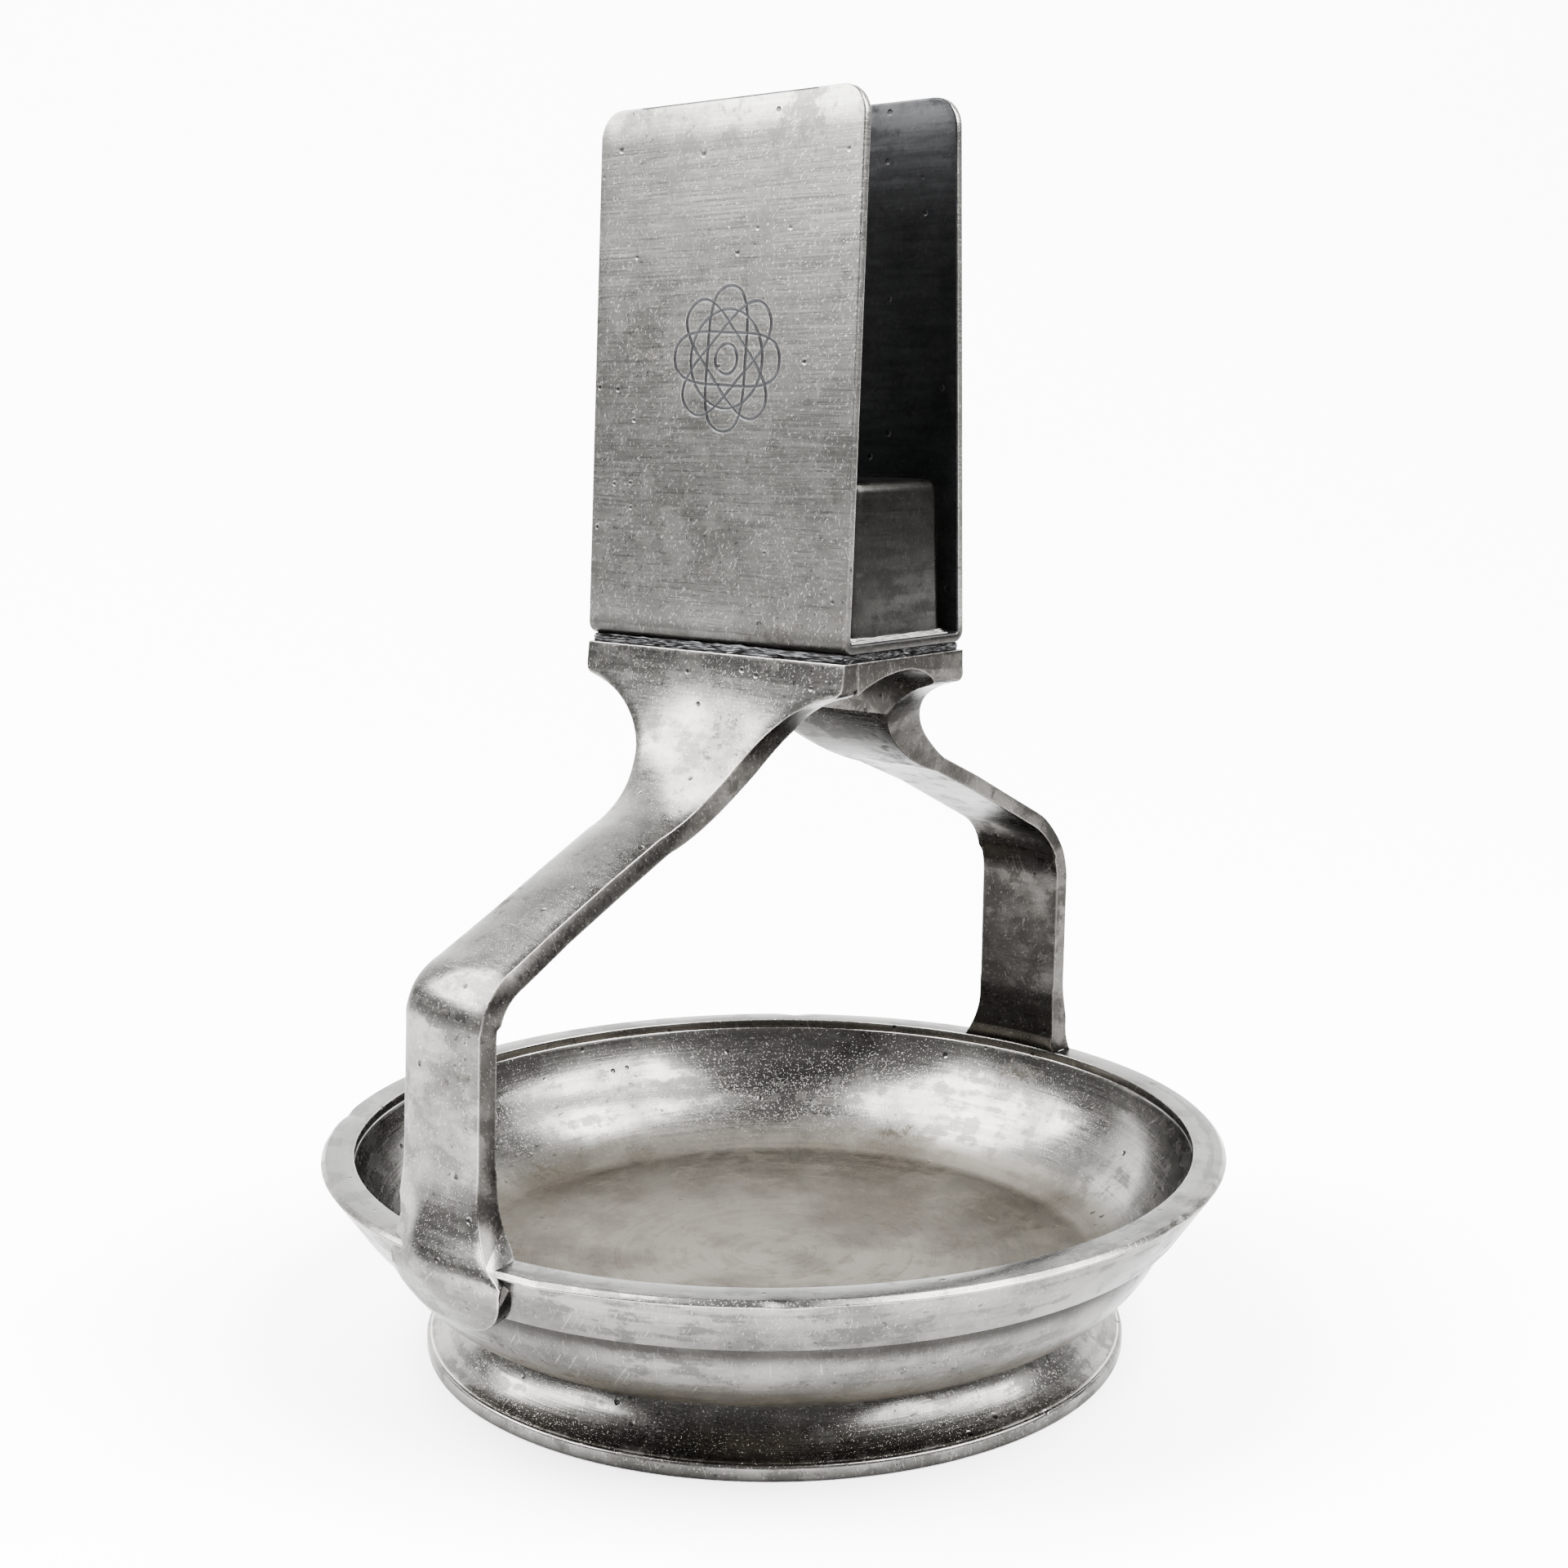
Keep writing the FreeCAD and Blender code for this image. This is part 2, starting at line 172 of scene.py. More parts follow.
# %% [markdown]
# ## Turned pieces
#
# The dish, its rim and its foot were spun on a lathe. A lathe shape is a ring pulled through a section:
# add a circle, extrude it, scale it and lift it to the next point, and merge the last ring with the
# first.

# %% A ring pulled through a section
def turned(name, section, steps=240):
    """A closed ring whose section is a list of (radius, height) points in millimetres."""
    radius, height = section[0]
    bpy.ops.mesh.primitive_circle_add(vertices=steps, radius=radius * MM)
    piece = fresh(name)
    bpy.ops.transform.translate(value=(0, 0, height * MM))
    for next_radius, next_height in section[1:] + section[:1]:
        bpy.ops.mesh.extrude_region_move()
        scale = next_radius / radius
        bpy.ops.transform.resize(value=(scale, scale, 1), center_override=(0, 0, height * MM))
        bpy.ops.transform.translate(value=(0, 0, (next_height - height) * MM))
        radius, height = next_radius, next_height
    bpy.ops.mesh.select_all(action="SELECT")
    bpy.ops.mesh.remove_doubles(threshold=0.003 * MM)
    bpy.ops.mesh.delete_loose(use_verts=True, use_edges=True, use_faces=False)
    bpy.ops.mesh.select_all(action="SELECT")
    bpy.ops.mesh.normals_make_consistent(inside=False)
    bpy.ops.object.mode_set(mode="OBJECT")
    print(name, len(piece.data.polygons), "faces")
    return piece


# %% [markdown]
# ### Foot
#
# A plain wire stiffens the foot's edge. Above it the thin metal sweeps up and in, and turns to a flange
# that is soldered to the bowl.

# %% Foot
wire = [(36.2, 0.35), (36.55, 0.0), (37.5, 0.0), (37.8, 0.12), (37.9, 0.5), (37.9, 1.25), (37.82, 1.55),
        (37.6, 1.7), (36.2, 1.7)]
foot_wire = turned("foot_wire_ring", wire)
FLARE_EDGE = (37.6, 1.7)
FLARE_NECK = (33.2, 6.9)
flare = [FLARE_EDGE] + arc(FLARE_EDGE, FLARE_NECK, -7.0, 20)
flare += [(30.7, 6.9), (30.7, 5.7), (32.0, 5.7)] + arc((32.0, 5.7), (36.4, 1.7), 8.2, 20)
foot_flare = turned("flared_foot", flare)

# %% [markdown]
# ### Bowl and rim
#
# The bowl is one sheet with a flat floor. Its wall swells out to the rim, a heavier band with a flat top
# and a conical outside whose lower edge stands proud of the wall as a sharp step.

# %% Bowl
FLOOR_RINGS = (0.001, 4.0, 10.0, 16.0, 22.0, 28.0, 31.0)
UNDERSIDE = 6.9
FLOOR = 8.4
BOWL_LIP = (44.9, 21.2)
bowl = [(radius, UNDERSIDE) for radius in FLOOR_RINGS] + [(36.1, UNDERSIDE), (36.7, 7.1)]
bowl += arc((36.7, 7.1), (43.2, 15.9), 14.0, 24) + [(45.9, 21.2), BOWL_LIP]
bowl += arc(BOWL_LIP, (34.4, 8.5), -17.5, 32) + [(33.4, FLOOR)]
bowl += [(radius, FLOOR) for radius in FLOOR_RINGS[::-1]]
ash_bowl = turned("ash_bowl", bowl)

# %% Rim
rim_section = [(43.0, 15.9), (44.4, 15.9), (46.4, 18.8), (48.4, 21.7), (47.9, 22.2), (46.4, 22.2),
               (44.9, 22.2), BOWL_LIP, (45.9, 21.2)]
rim = turned("rim_ring", rim_section)

# %% [markdown]
# A stand that has been knocked about for a century has small dents in its soft rim. Each one is a single
# point pushed in with proportional editing, which carries the metal around it along. The pushes are a few
# tenths of a millimetre, so only the highlights on the rim show them.

# %% Dents in the rim
DENT_REACH = 2.2
DENTS = (((48.0, 5.0, 22.0), (-0.4, 0, -0.25)),
         ((47.2, 9.4, 22.0), (-0.3, 0, -0.2)),
         ((33.5, -34.5, 22.0), (-0.15, 0.15, -0.25)),
         ((-40.0, -27.0, 22.0), (0.2, 0.15, -0.2)),
         ((12.0, -46.6, 22.0), (0, 0.15, -0.2)),
         ((-30.0, 37.8, 22.0), (0.2, -0.2, -0.2)))
choose(rim)
bpy.ops.object.mode_set(mode="EDIT")
for place, push in DENTS:
    dent(place, push, DENT_REACH)
bpy.ops.object.mode_set(mode="OBJECT")
print("rim:", len(DENTS), "dents")

# %% [markdown]
# ## Arms
#
# Each arm is a casting. Its section is nearly a rectangle, and it follows one path: down the shoulder,
# out along the slope, down the leg, and over the rim. So a small grid is extruded along that path. At
# every station the row on the outer face and the row on the inner face get their own reach, height and
# width. The foot spreads to one side only; the two castings are the same way round, so the stand looks
# alike from the front and the back.

# %% Front outline
SHOULDER_HALF = 18.0
SLOPE_HALF = 5.3
LEG_HALF = 5.8
SQUARE_END = (SHOULDER_HALF, 72.9)
COVE_TOP = (16.7, 71.6)
COVE_FOOT = (7.0, 63.2)
SLOPE_TOP = (SLOPE_HALF, 57.0)
LEG_TOP = (LEG_HALF, 46.5)
SPREAD_TOP = (LEG_HALF, 28.0)
SPREAD_MIDDLE = (7.1, 23.7)
SPREAD_END = (9.8, 21.0)
NOSE_END = (LEG_HALF, 17.5)
TIP = (0.3, 13.85)
upper_outline = [(SHOULDER_HALF, 76.0), SQUARE_END] + arc(SQUARE_END, COVE_TOP, -1.3, 6)
upper_outline += arc(COVE_TOP, COVE_FOOT, 13, 16) + arc(COVE_FOOT, SLOPE_TOP, 16, 8)
upper_outline += [(SLOPE_HALF, 50.0), LEG_TOP]
straight_side = upper_outline + [NOSE_END] + arc(NOSE_END, TIP, -7, 8)
spread_side = upper_outline + [SPREAD_TOP] + arc(SPREAD_TOP, SPREAD_MIDDLE, 9, 6)
spread_side += arc(SPREAD_MIDDLE, SPREAD_END, 6, 6) + arc(SPREAD_END, TIP, -9.5, 12)


def width_at(side, height):
    """Distance from the middle line to one side's edge at a height."""
    for (wide, high), (narrow, low) in zip(side, side[1:]):
        if low <= height <= high:
            share = (high - height) / (high - low) if high > low else 0
            return wide + (narrow - wide) * share
    return side[-1][0]


print("half widths:", width_at(straight_side, 40), "leg,", width_at(spread_side, 21), "spread foot")

# %% [markdown]
# The two castings were bent by hand, and not quite alike: the rear one leaves the shoulder higher, so its
# slope and its elbow lie about three millimetres above the front one's, and its elbow is rounder. Both
# end in the same foot. Each path is two lists of points, one for the outer face and one for the inner
# face, with the same number of points, so that the metal's thickness is the distance between a pair.

# %% Side paths
REAR_RISE = 3.2
ANKLE = 30.5


def moved(path, out, rise):
    """The same (reach, height) points, further out and higher."""
    return [(reach + out, height + rise) for reach, height in path]


def leg_down(start, end, steps=5):
    """Points on the straight leg, without its start."""
    shares = [step / steps for step in range(1, steps + 1)]
    return [tuple(a + (b - a) * share for a, b in zip(start, end)) for share in shares]


firm_elbow = [(28.0, 54.93), (35.0, 51.52), (41.2, 48.5)] + arc((41.2, 48.5), (45.5, 43.2), -6.6, 12)
firm_inner = [(27.25, 53.4), (34.25, 49.99), (40.45, 46.97)] + arc((40.45, 46.97), (43.8, 42.4), -5, 12)
soft_elbow = [(28.0, 54.93), (34.0, 52.01), (40.07, 49.05)] + arc((40.07, 49.05), (45.67, 40.72), -9.8, 12)
soft_inner = [(27.25, 53.4), (33.25, 50.48), (39.17, 47.6)] + arc((39.17, 47.6), (43.93, 40.52), -8.3, 12)
foot_outer = [(46.5, 29.0), (46.75, 27.6), (47.1, 26.3), (47.45, 25.1), (47.9, 24.1), (48.35, 23.2)]
foot_outer += [(48.7, 22.5), (48.95, 21.9), (49.12, 21.3), (49.2, 20.8), (49.15, 20.3), (49.0, 19.85)]
foot_outer += [(48.75, 19.4), (48.5, 19.0), (48.0, 18.3), (47.4, 17.4), (46.75, 16.5), (46.2, 15.7)]
foot_outer += [(45.75, 15.0), (45.3, 14.4), (44.95, 13.95)]
foot_inner = [(44.45, 29.9 - 0.84 * step) for step in range(9)] + [(44.9, 22.2), (46.0, 22.2), (47.0, 22.2)]
foot_inner += [(47.9, 22.2), (48.4, 21.7), (47.57, 20.5), (46.81, 19.4), (46.06, 18.3), (45.43, 17.4)]
foot_inner += [(44.74, 16.4), (44.6, 15.3), (44.5, 14.2)]


def lower_path(elbow, inner_elbow, rise, out):
    """Outer and inner face from the slope to the tongue; the elbow may stand further out or higher."""
    outer = moved(elbow, out, rise)
    outer += leg_down(outer[-1], (46.35, ANKLE)) + foot_outer
    inner = moved(inner_elbow, out, rise)
    inner += leg_down(inner[-1], (44.6, ANKLE)) + foot_inner
    return outer, inner


lower_outer, lower_inner = lower_path(firm_elbow, firm_inner, 0, 0.2)
BOW_TOP = (9.6, 73.6)
BOW_FOOT = (12.5, 65.1)
shoulder_heights = [75.1, 74.6, 74.1, 73.6]
SHOULDER_BACK = 7.4
front_outer = [(9.4 + 0.133 * (75.1 - height), height) for height in shoulder_heights]
front_outer += arc(BOW_TOP, BOW_FOOT, 26, 20) + arc(BOW_FOOT, (21.7, 58.0), 17, 14) + lower_outer
front_inner = [(SHOULDER_BACK, height) for height in shoulder_heights]
front_inner += [(SHOULDER_BACK, 73.2 - 0.265 * step) for step in range(1, 21)]
front_inner += arc((SHOULDER_BACK, 67.9), (20.95, 56.5), 21, 14) + lower_inner
print(len(front_outer), len(front_inner), "stations")

# %% [markdown]
# Now the extrusion itself. The first ring is a flat grid, twelve faces wide, whose two rows are
# remembered in two vertex groups. Extruding copies a vertex's groups, so each new ring knows its outer
# row from its inner one, and each row can be scaled and moved to its own point of the path. The spread
# side of the outer row is drawn in a little, the draft that lets a casting leave its mould.

# %% Extrude an arm along its path
COLUMNS = 12
DRAFT = 0.6


def row_span(group, height):
    """Middle and width of a row at a height. The foot spreads towards -X; that side has draft."""
    right = width_at(straight_side, height)
    left = width_at(spread_side, height)
    draft = DRAFT * min(max((73 - height) / 8, 0), 1) * min(max((height - 22) / 6, 0), 1)
    trim = draft if group == "outer" else 0
    return (right - left + trim) / 2, right + left - trim


def move_row(piece, group, old, new):
    """Of the selected end ring, move one row from its old (reach, height) to the new, and set its width."""
    mesh = bmesh.from_edit_mesh(piece.data)
    weights = mesh.verts.layers.deform.active
    number = piece.vertex_groups[group].index
    ring = [vert for vert in mesh.verts if vert.select]
    for vert in ring:
        vert.select_set(number in vert[weights])
    bmesh.update_edit_mesh(piece.data)
    old_middle, old_width = row_span(group, old[1])
    new_middle, new_width = row_span(group, new[1])
    bpy.ops.transform.resize(value=(new_width / old_width, 1, 1), center_override=(old_middle * MM, 0, 0))
    step = (new_middle - old_middle, new[0] - old[0], new[1] - old[1])
    bpy.ops.transform.translate(value=[distance * MM for distance in step])
    for vert in ring:
        vert.select_set(True)
    mesh.select_flush(True)


def extruded_arm(name, outer, inner):
    """A casting that reaches towards +Y, from matching (reach, height) lists of its two faces."""
    top = outer[0][1]
    bpy.ops.mesh.primitive_grid_add(x_subdivisions=COLUMNS, y_subdivisions=1, size=2 * MM)
    piece = fresh(name)
    bpy.ops.transform.resize(value=(SHOULDER_HALF, 1, 1))
    bpy.ops.transform.translate(value=(0, 0, top * MM))
    bpy.ops.object.mode_set(mode="OBJECT")
    for group, side in (("outer", 1), ("inner", -1)):
        row = [vert.index for vert in piece.data.vertices if vert.co.y * side > 0]
        piece.vertex_groups.new(name=group).add(row, 1, "REPLACE")
    bpy.ops.object.mode_set(mode="EDIT")
    bpy.ops.mesh.select_all(action="SELECT")
    last = {"outer": (1, top), "inner": (-1, top)}
    for station, rows in enumerate(zip(outer, inner)):
        if station:
            bpy.ops.mesh.extrude_region_move()
        for group, new in zip(("outer", "inner"), rows):
            move_row(piece, group, last[group], new)
            last[group] = new
    return piece


# %% [markdown]
# The leg and the foot are not flat: the foot sits on the round rim and its tongue laps over the conical
# band. The warp operator turns sideways distance into an angle round the stand's axis, which wraps them
# in one step. Above the elbow the outer face gets the same slight crown from a Displace modifier, as
# filing and polishing leave it.

# %% Wrap the foot round the rim and crown the slope
RIM_REACH = 47.0
ELBOW_END = 43.4
CROWN = 0.75
NO_VIEW = ((1.0, 0.0, 0.0, 0.0), (0.0, 1.0, 0.0, 0.0), (0.0, 0.0, 1.0, 0.0), (0.0, 0.0, 0.0, 1.0))


def wrap_foot(top):
    """Bend all below a height round the stand's axis, and press the nose flat on the straight side."""
    pick("VERT", lambda vert: vert.co.z < top * MM)
    span = 20.0 * MM
    bpy.ops.transform.vertex_warp(warp_angle=span / (RIM_REACH * MM), offset_angle=0.0, min=-span / 2,
                                  max=span / 2, viewmat=NO_VIEW, center=(0.0, 0.0, 0.0))
    dent((6.0, 49.3, 20.9), (0, -0.9, 0.2), 6.5)
    dent((6.0, 47.6, 23.4), (0, -0.7, 0), 4.0)
    bpy.ops.mesh.select_all(action="SELECT")
    bpy.ops.mesh.normals_make_consistent(inside=False)


def crown(piece, top):
    """Raise the outer face's middle, and carry the leg's wrap on round the elbow so no crease is left."""
    bpy.ops.object.mode_set(mode="OBJECT")
    rounded = piece.vertex_groups.new(name="crown")
    carried = piece.vertex_groups.new(name="carried")
    outer = piece.vertex_groups["outer"].index
    for vert in piece.data.vertices:
        height = vert.co.z / MM
        across = min(abs(vert.co.x) / MM / width_at(straight_side, height), 1)
        if height > ANKLE and outer in {item.group for item in vert.groups}:
            share = min(max((74 - height) / 12, 0), 1) * min(0.5 + max((height - top) / 12, 0), 1)
            weight = (1 - across * across) * share * min((height - ANKLE) / 3, 1)
            rounded.add([vert.index], weight, "REPLACE")
        if top <= height < top + 12:
            carried.add([vert.index], across * across * (1 - (height - top) / 12), "REPLACE")
    apply_modifier(piece, "DISPLACE", strength=CROWN * MM, mid_level=0, vertex_group="crown")
    wrap_drop = width_at(straight_side, top) ** 2 / (2 * RIM_REACH)
    apply_modifier(piece, "DISPLACE", strength=-wrap_drop * MM, mid_level=0, direction="Y",
                   vertex_group="carried")


# %% [markdown]
# The arm is made reaching towards +Y, wrapped, crowned, and then turned half round to its place at the
# front.

# %% Front arm
front_arm = extruded_arm("front_arm_casting", front_outer, front_inner)
wrap_foot(ELBOW_END)
crown(front_arm, ELBOW_END)
bpy.ops.object.mode_set(mode="EDIT")
bpy.ops.mesh.select_all(action="SELECT")
bpy.ops.transform.rotate(value=math.pi, orient_axis="Z", center_override=(0, 0, 0))
bpy.ops.object.mode_set(mode="OBJECT")
print("front arm:", len(front_arm.data.polygons), "faces")

# %% [markdown]
# The rear casting also carries the bridge under the clip. Its shoulder thickens inwards along a quarter
# curve, and the top of that is pulled across to the front arm while its lower edge falls along the arch.

# %% Rear arm and bridge
ARCH_TOP = (1.0, 73.8)
ARCH_FOOT = (7.0, 67.9)
SEAM = (-7.4, 71.9)
SHOULDER_FOOT = (9.4, 73.7)
rear_outer = [(9.4, 75.1), (9.4, 74.7), (9.4, 74.2), SHOULDER_FOOT]
rear_outer += arc(SHOULDER_FOOT, (11.4, 69.1), 6.5, 18)
rear_inner = [(1.0, 75.1), (1.0, 74.8), (1.0, 74.3), ARCH_TOP] + arc(ARCH_TOP, ARCH_FOOT, -6.6, 18)
rear_outer += arc((11.4, 69.1), (21.7, 61.2), 41, 14)
rear_inner += arc(ARCH_FOOT, (20.95, 59.7), 30, 14)
lower_outer, lower_inner = lower_path(soft_elbow, soft_inner, REAR_RISE, 1.0)
rear_arm = extruded_arm("rear_arm_casting", rear_outer + lower_outer, rear_inner + lower_inner)
wrap_foot(ELBOW_END + REAR_RISE)

# %% [markdown]
# The arch is eight short extrusions of the bridge's end face. After each one, the lowest row of the new
# ring drops to the next point of the arc.

# %% Arch
pick("FACE", lambda face: face.normal.y < -0.9 and middle(face).z > ARCH_TOP[1] and middle(face).y < 2)
reach, height = ARCH_TOP
for next_reach, next_height in arc(ARCH_TOP, SEAM, 18, 8):
    bpy.ops.mesh.extrude_region_move()
    bpy.ops.transform.translate(value=(0, (next_reach - reach) * MM, 0))
    mesh = bmesh.from_edit_mesh(rear_arm.data)
    end_face = [face for face in mesh.faces if face.select]
    end_ring = {vert for face in end_face for vert in face.verts}
    lowest = min(vert.co.z for vert in end_ring)
    pick("VERT", lambda vert: vert in end_ring and vert.co.z < lowest + 0.01 * MM)
    bpy.ops.transform.translate(value=(0, 0, (next_height - height) * MM))
    pick("FACE", lambda face: face in end_face)
    reach, height = next_reach, next_height
crown(rear_arm, ELBOW_END + REAR_RISE)
print("rear arm:", len(rear_arm.data.polygons), "faces")

# %% [markdown]
# ## Clip, lug and solder
#
# The clip is one strip of sheet bent to a U. A plane is its floor; its two long edges are pulled up as
# cheeks that lean in; the bends and the top corners are rounded with bevels; Solidify gives the sheet its
# thickness.

# %% Clip
CLIP_BASE = 75.95
CLIP_TOP = 130.0
CLIP_HALF = 9.45
CLIP_SHEET = 0.95
FRONT_LEAN = 3.2
REAR_LEAN = 1.0
BEND_OFFSET = 1.3
CORNER_OFFSET = 3.0
bpy.ops.mesh.primitive_plane_add(size=2 * MM)
clip = fresh("spring_clip_strip")
bpy.ops.transform.resize(value=(SHOULDER_HALF, CLIP_HALF, 1))
bpy.ops.transform.translate(value=(0, 0, CLIP_BASE * MM))
for side, lean in ((-1, FRONT_LEAN), (1, REAR_LEAN)):
    pick("EDGE", lambda edge: middle(edge).y * side > CLIP_HALF - 0.1)
    bpy.ops.mesh.extrude_region_move()
    bpy.ops.transform.translate(value=(0, -side * lean * MM, (CLIP_TOP - CLIP_BASE) * MM))
pick("EDGE", lambda edge: abs(middle(edge).x) < 0.1 and middle(edge).z < CLIP_BASE + 0.1)
bpy.ops.mesh.bevel(offset=BEND_OFFSET * MM, segments=6, affect="EDGES")
pick("VERT", lambda vert: vert.co.z > (CLIP_TOP - 0.1) * MM)
bpy.ops.mesh.bevel(offset=CORNER_OFFSET * MM, segments=8, affect="VERTICES")
bpy.ops.mesh.select_all(action="SELECT")
bpy.ops.mesh.normals_make_consistent(inside=False)
bpy.ops.object.mode_set(mode="OBJECT")
floor_normal = min(clip.data.polygons, key=lambda face: face.center.z).normal.z
apply_modifier(clip, "SOLIDIFY", thickness=CLIP_SHEET * MM, offset=1 if floor_normal > 0 else -1)
print("clip:", len(clip.data.polygons), "faces")

# %% [markdown]
# The lug fills the matchbox's open end, so the box stays upright when its tray is pushed up. It is a box
# that narrows upwards, with its upper edges and corners rounded by a bevel. All its edges but the four on
# the clip's floor are picked by their height.

# %% Lug
LUG_SEAT = CLIP_BASE + CLIP_SHEET
LUG_HALF = (17.0, 7.2, 7.85)
LUG_TOP_HALF = 6.5
bpy.ops.mesh.primitive_cube_add(size=2 * MM)
lug = fresh("tray_lug")
bpy.ops.transform.resize(value=LUG_HALF)
bpy.ops.transform.translate(value=(0, 0, (LUG_SEAT + LUG_HALF[2]) * MM))
pick("FACE", lambda face: face.normal.z > 0.9)
bpy.ops.transform.resize(value=(1, LUG_TOP_HALF / LUG_HALF[1], 1), center_override=(0, 0, 0))
pick("EDGE", lambda edge: middle(edge).z > LUG_SEAT + 0.1)
bpy.ops.mesh.bevel(offset=1.2 * MM, segments=5, affect="EDGES")
bpy.ops.object.mode_set(mode="OBJECT")
print("lug:", len(lug.data.polygons), "faces")

# %% [markdown]
# Soft solder runs out as a thin uneven bead round the lug. It is a low box, a little larger than the lug,
# whose subdivided top and sides are shaken by a random move and then smoothed once.

# %% Solder bead
BEAD_HALF = (17.45, 7.65, 0.3)
BEAD_TOP_HALF = (16.95, 7.15)
bpy.ops.mesh.primitive_cube_add(size=2 * MM)
bead = fresh("solder_bead")
bpy.ops.transform.resize(value=BEAD_HALF)
bpy.ops.transform.translate(value=(0, 0, (LUG_SEAT + 0.2) * MM))
pick("FACE", lambda face: face.normal.z > 0.9)
bead_taper = (BEAD_TOP_HALF[0] / BEAD_HALF[0], BEAD_TOP_HALF[1] / BEAD_HALF[1], 1)
bpy.ops.transform.resize(value=bead_taper, center_override=(0, 0, 0))
bpy.ops.mesh.select_all(action="SELECT")
bpy.ops.mesh.subdivide(number_cuts=24)
pick("VERT", lambda vert: vert.co.z > (LUG_SEAT + 0.1) * MM)
bpy.ops.transform.vertex_random(offset=0.12 * MM, seed=4)
bpy.ops.mesh.vertices_smooth(factor=0.5, repeat=1)
bpy.ops.object.mode_set(mode="OBJECT")
print("bead:", len(bead.data.polygons), "faces")

# %% [markdown]
# Between the arms' flat shoulders and the clip lies a bed of solder. Seen from the side it is a dark
# ragged line, so its slab is shaken in the same way, but more.

# %% Solder bed
BED_HALF = (17.6, 9.05, 0.425)
BED_MIDDLE = 75.525
bpy.ops.mesh.primitive_cube_add(size=2 * MM)
solder_bed = fresh("solder_bed")
bpy.ops.transform.resize(value=BED_HALF)
bpy.ops.transform.translate(value=(0, 0, BED_MIDDLE * MM))
bpy.ops.mesh.subdivide(number_cuts=40)
bpy.ops.transform.vertex_random(offset=0.3 * MM, seed=7)
bpy.ops.mesh.vertices_smooth(factor=0.5, repeat=1)
bpy.ops.object.mode_set(mode="OBJECT")
print("bed:", len(solder_bed.data.polygons), "faces")

# %% [markdown]
# ### Rounded edges
#
# No edge of a worn piece is sharp, and it is the thin bright line along an edge that tells the eye so. A
# Bevel modifier rounds each piece's sharp edges. The turned pieces get a tenth of a millimetre or so, and
# the castings more, because they were filed.

# %% Rounded edges
EDGE_WIDTHS = ((foot_wire, 0.1), (foot_flare, 0.15), (ash_bowl, 0.15), (rim, 0.12), (front_arm, 0.22),
               (rear_arm, 0.5), (clip, 0.22), (lug, 0.1))
for piece, width in EDGE_WIDTHS:
    soften(piece, width)
    print(piece.name, len(piece.data.polygons), "faces")

# %% [markdown]
# ### Engraving
#
# The front cheek carries an engraved device. Here it is a plain rosette: four long loops crossing each
# other, with two rings between them. A graver cuts a shallow round groove, so each line is a thin round
# wire sunk a tenth of a millimetre into the leaning cheek and cut away with a Boolean.

# %% Engraved rosette
ENGRAVING_CENTRE = (1.0, 104.5)
GRAVER = 0.26
CUT_DEPTH = 0.11
LEAN_ANGLE = math.atan2(FRONT_LEAN, CLIP_TOP - CLIP_BASE)
LOOPS = [(1.5, 1.5, 11), (4.9, 4.9, 11)] + [(7.2, 2.6, turn) for turn in (3, 48, 93, 138)]


def front_face_reach(height):
    """Y of the front cheek's outer face at a height."""
    return -CLIP_HALF + FRONT_LEAN * (height - CLIP_BASE) / (CLIP_TOP - CLIP_BASE)


def metal_left(piece):
    """The volume of a closed piece, in cubic millimetres."""
    mesh = bmesh.new()
    mesh.from_mesh(piece.data)
    volume = mesh.calc_volume() / MM ** 3
    mesh.free()
    return volume


print("groove: half width", round(math.sqrt(GRAVER ** 2 - (GRAVER - CUT_DEPTH) ** 2), 2), "mm")

# %% [markdown]
# Cutting into one large flat face would leave long thin faces round the engraving, which shade badly. So
# the cheeks are first bisected into a grid of four millimetres.

# %% Grid on the cheeks
choose(clip)
bpy.ops.object.mode_set(mode="EDIT")
for step in range(-16, 17, 4):
    bpy.ops.mesh.select_all(action="SELECT")
    bpy.ops.mesh.bisect(plane_co=(step * MM, 0, 0), plane_no=(1, 0, 0))
for step in range(82, 128, 4):
    bpy.ops.mesh.select_all(action="SELECT")
    bpy.ops.mesh.bisect(plane_co=(0, 0, step * MM), plane_no=(0, 0, 1))
bpy.ops.object.mode_set(mode="OBJECT")
print("clip:", len(clip.data.polygons), "faces")

# %% [markdown]
# Each line is a Bezier circle, stretched to its loop, given a round bevel and made a mesh before it is
# turned and moved. The lines cross, so they are joined and cut in a single Boolean that allows for
# crossing surfaces. One cut after another would leave open edges where two grooves meet.

# %% Graver lines
lines = []
for long_half, short_half, turn in LOOPS:
    bpy.ops.curve.primitive_bezier_circle_add(radius=MM, enter_editmode=True)
    bpy.ops.curve.select_all(action="SELECT")
    bpy.ops.transform.resize(value=(long_half, short_half, 1))
    bpy.ops.object.mode_set(mode="OBJECT")
    line = bpy.context.object
    line.data.resolution_u = 20
    line.data.bevel_depth = GRAVER * MM
    line.data.bevel_resolution = 3
    bpy.ops.object.convert(target="MESH")
    line = fresh("graver_line")
    bpy.ops.mesh.normals_make_consistent(inside=False)
    bpy.ops.transform.rotate(value=math.radians(turn), orient_axis="Z", center_override=(0, 0, 0))
    bpy.ops.transform.rotate(value=LEAN_ANGLE - math.pi / 2, orient_axis="X", center_override=(0, 0, 0))
    across, height = ENGRAVING_CENTRE
    out = front_face_reach(height) - (GRAVER - CUT_DEPTH)
    bpy.ops.transform.translate(value=(across * MM, out * MM, height * MM))
    bpy.ops.object.mode_set(mode="OBJECT")
    lines.append(line)
print(len(lines), "lines")

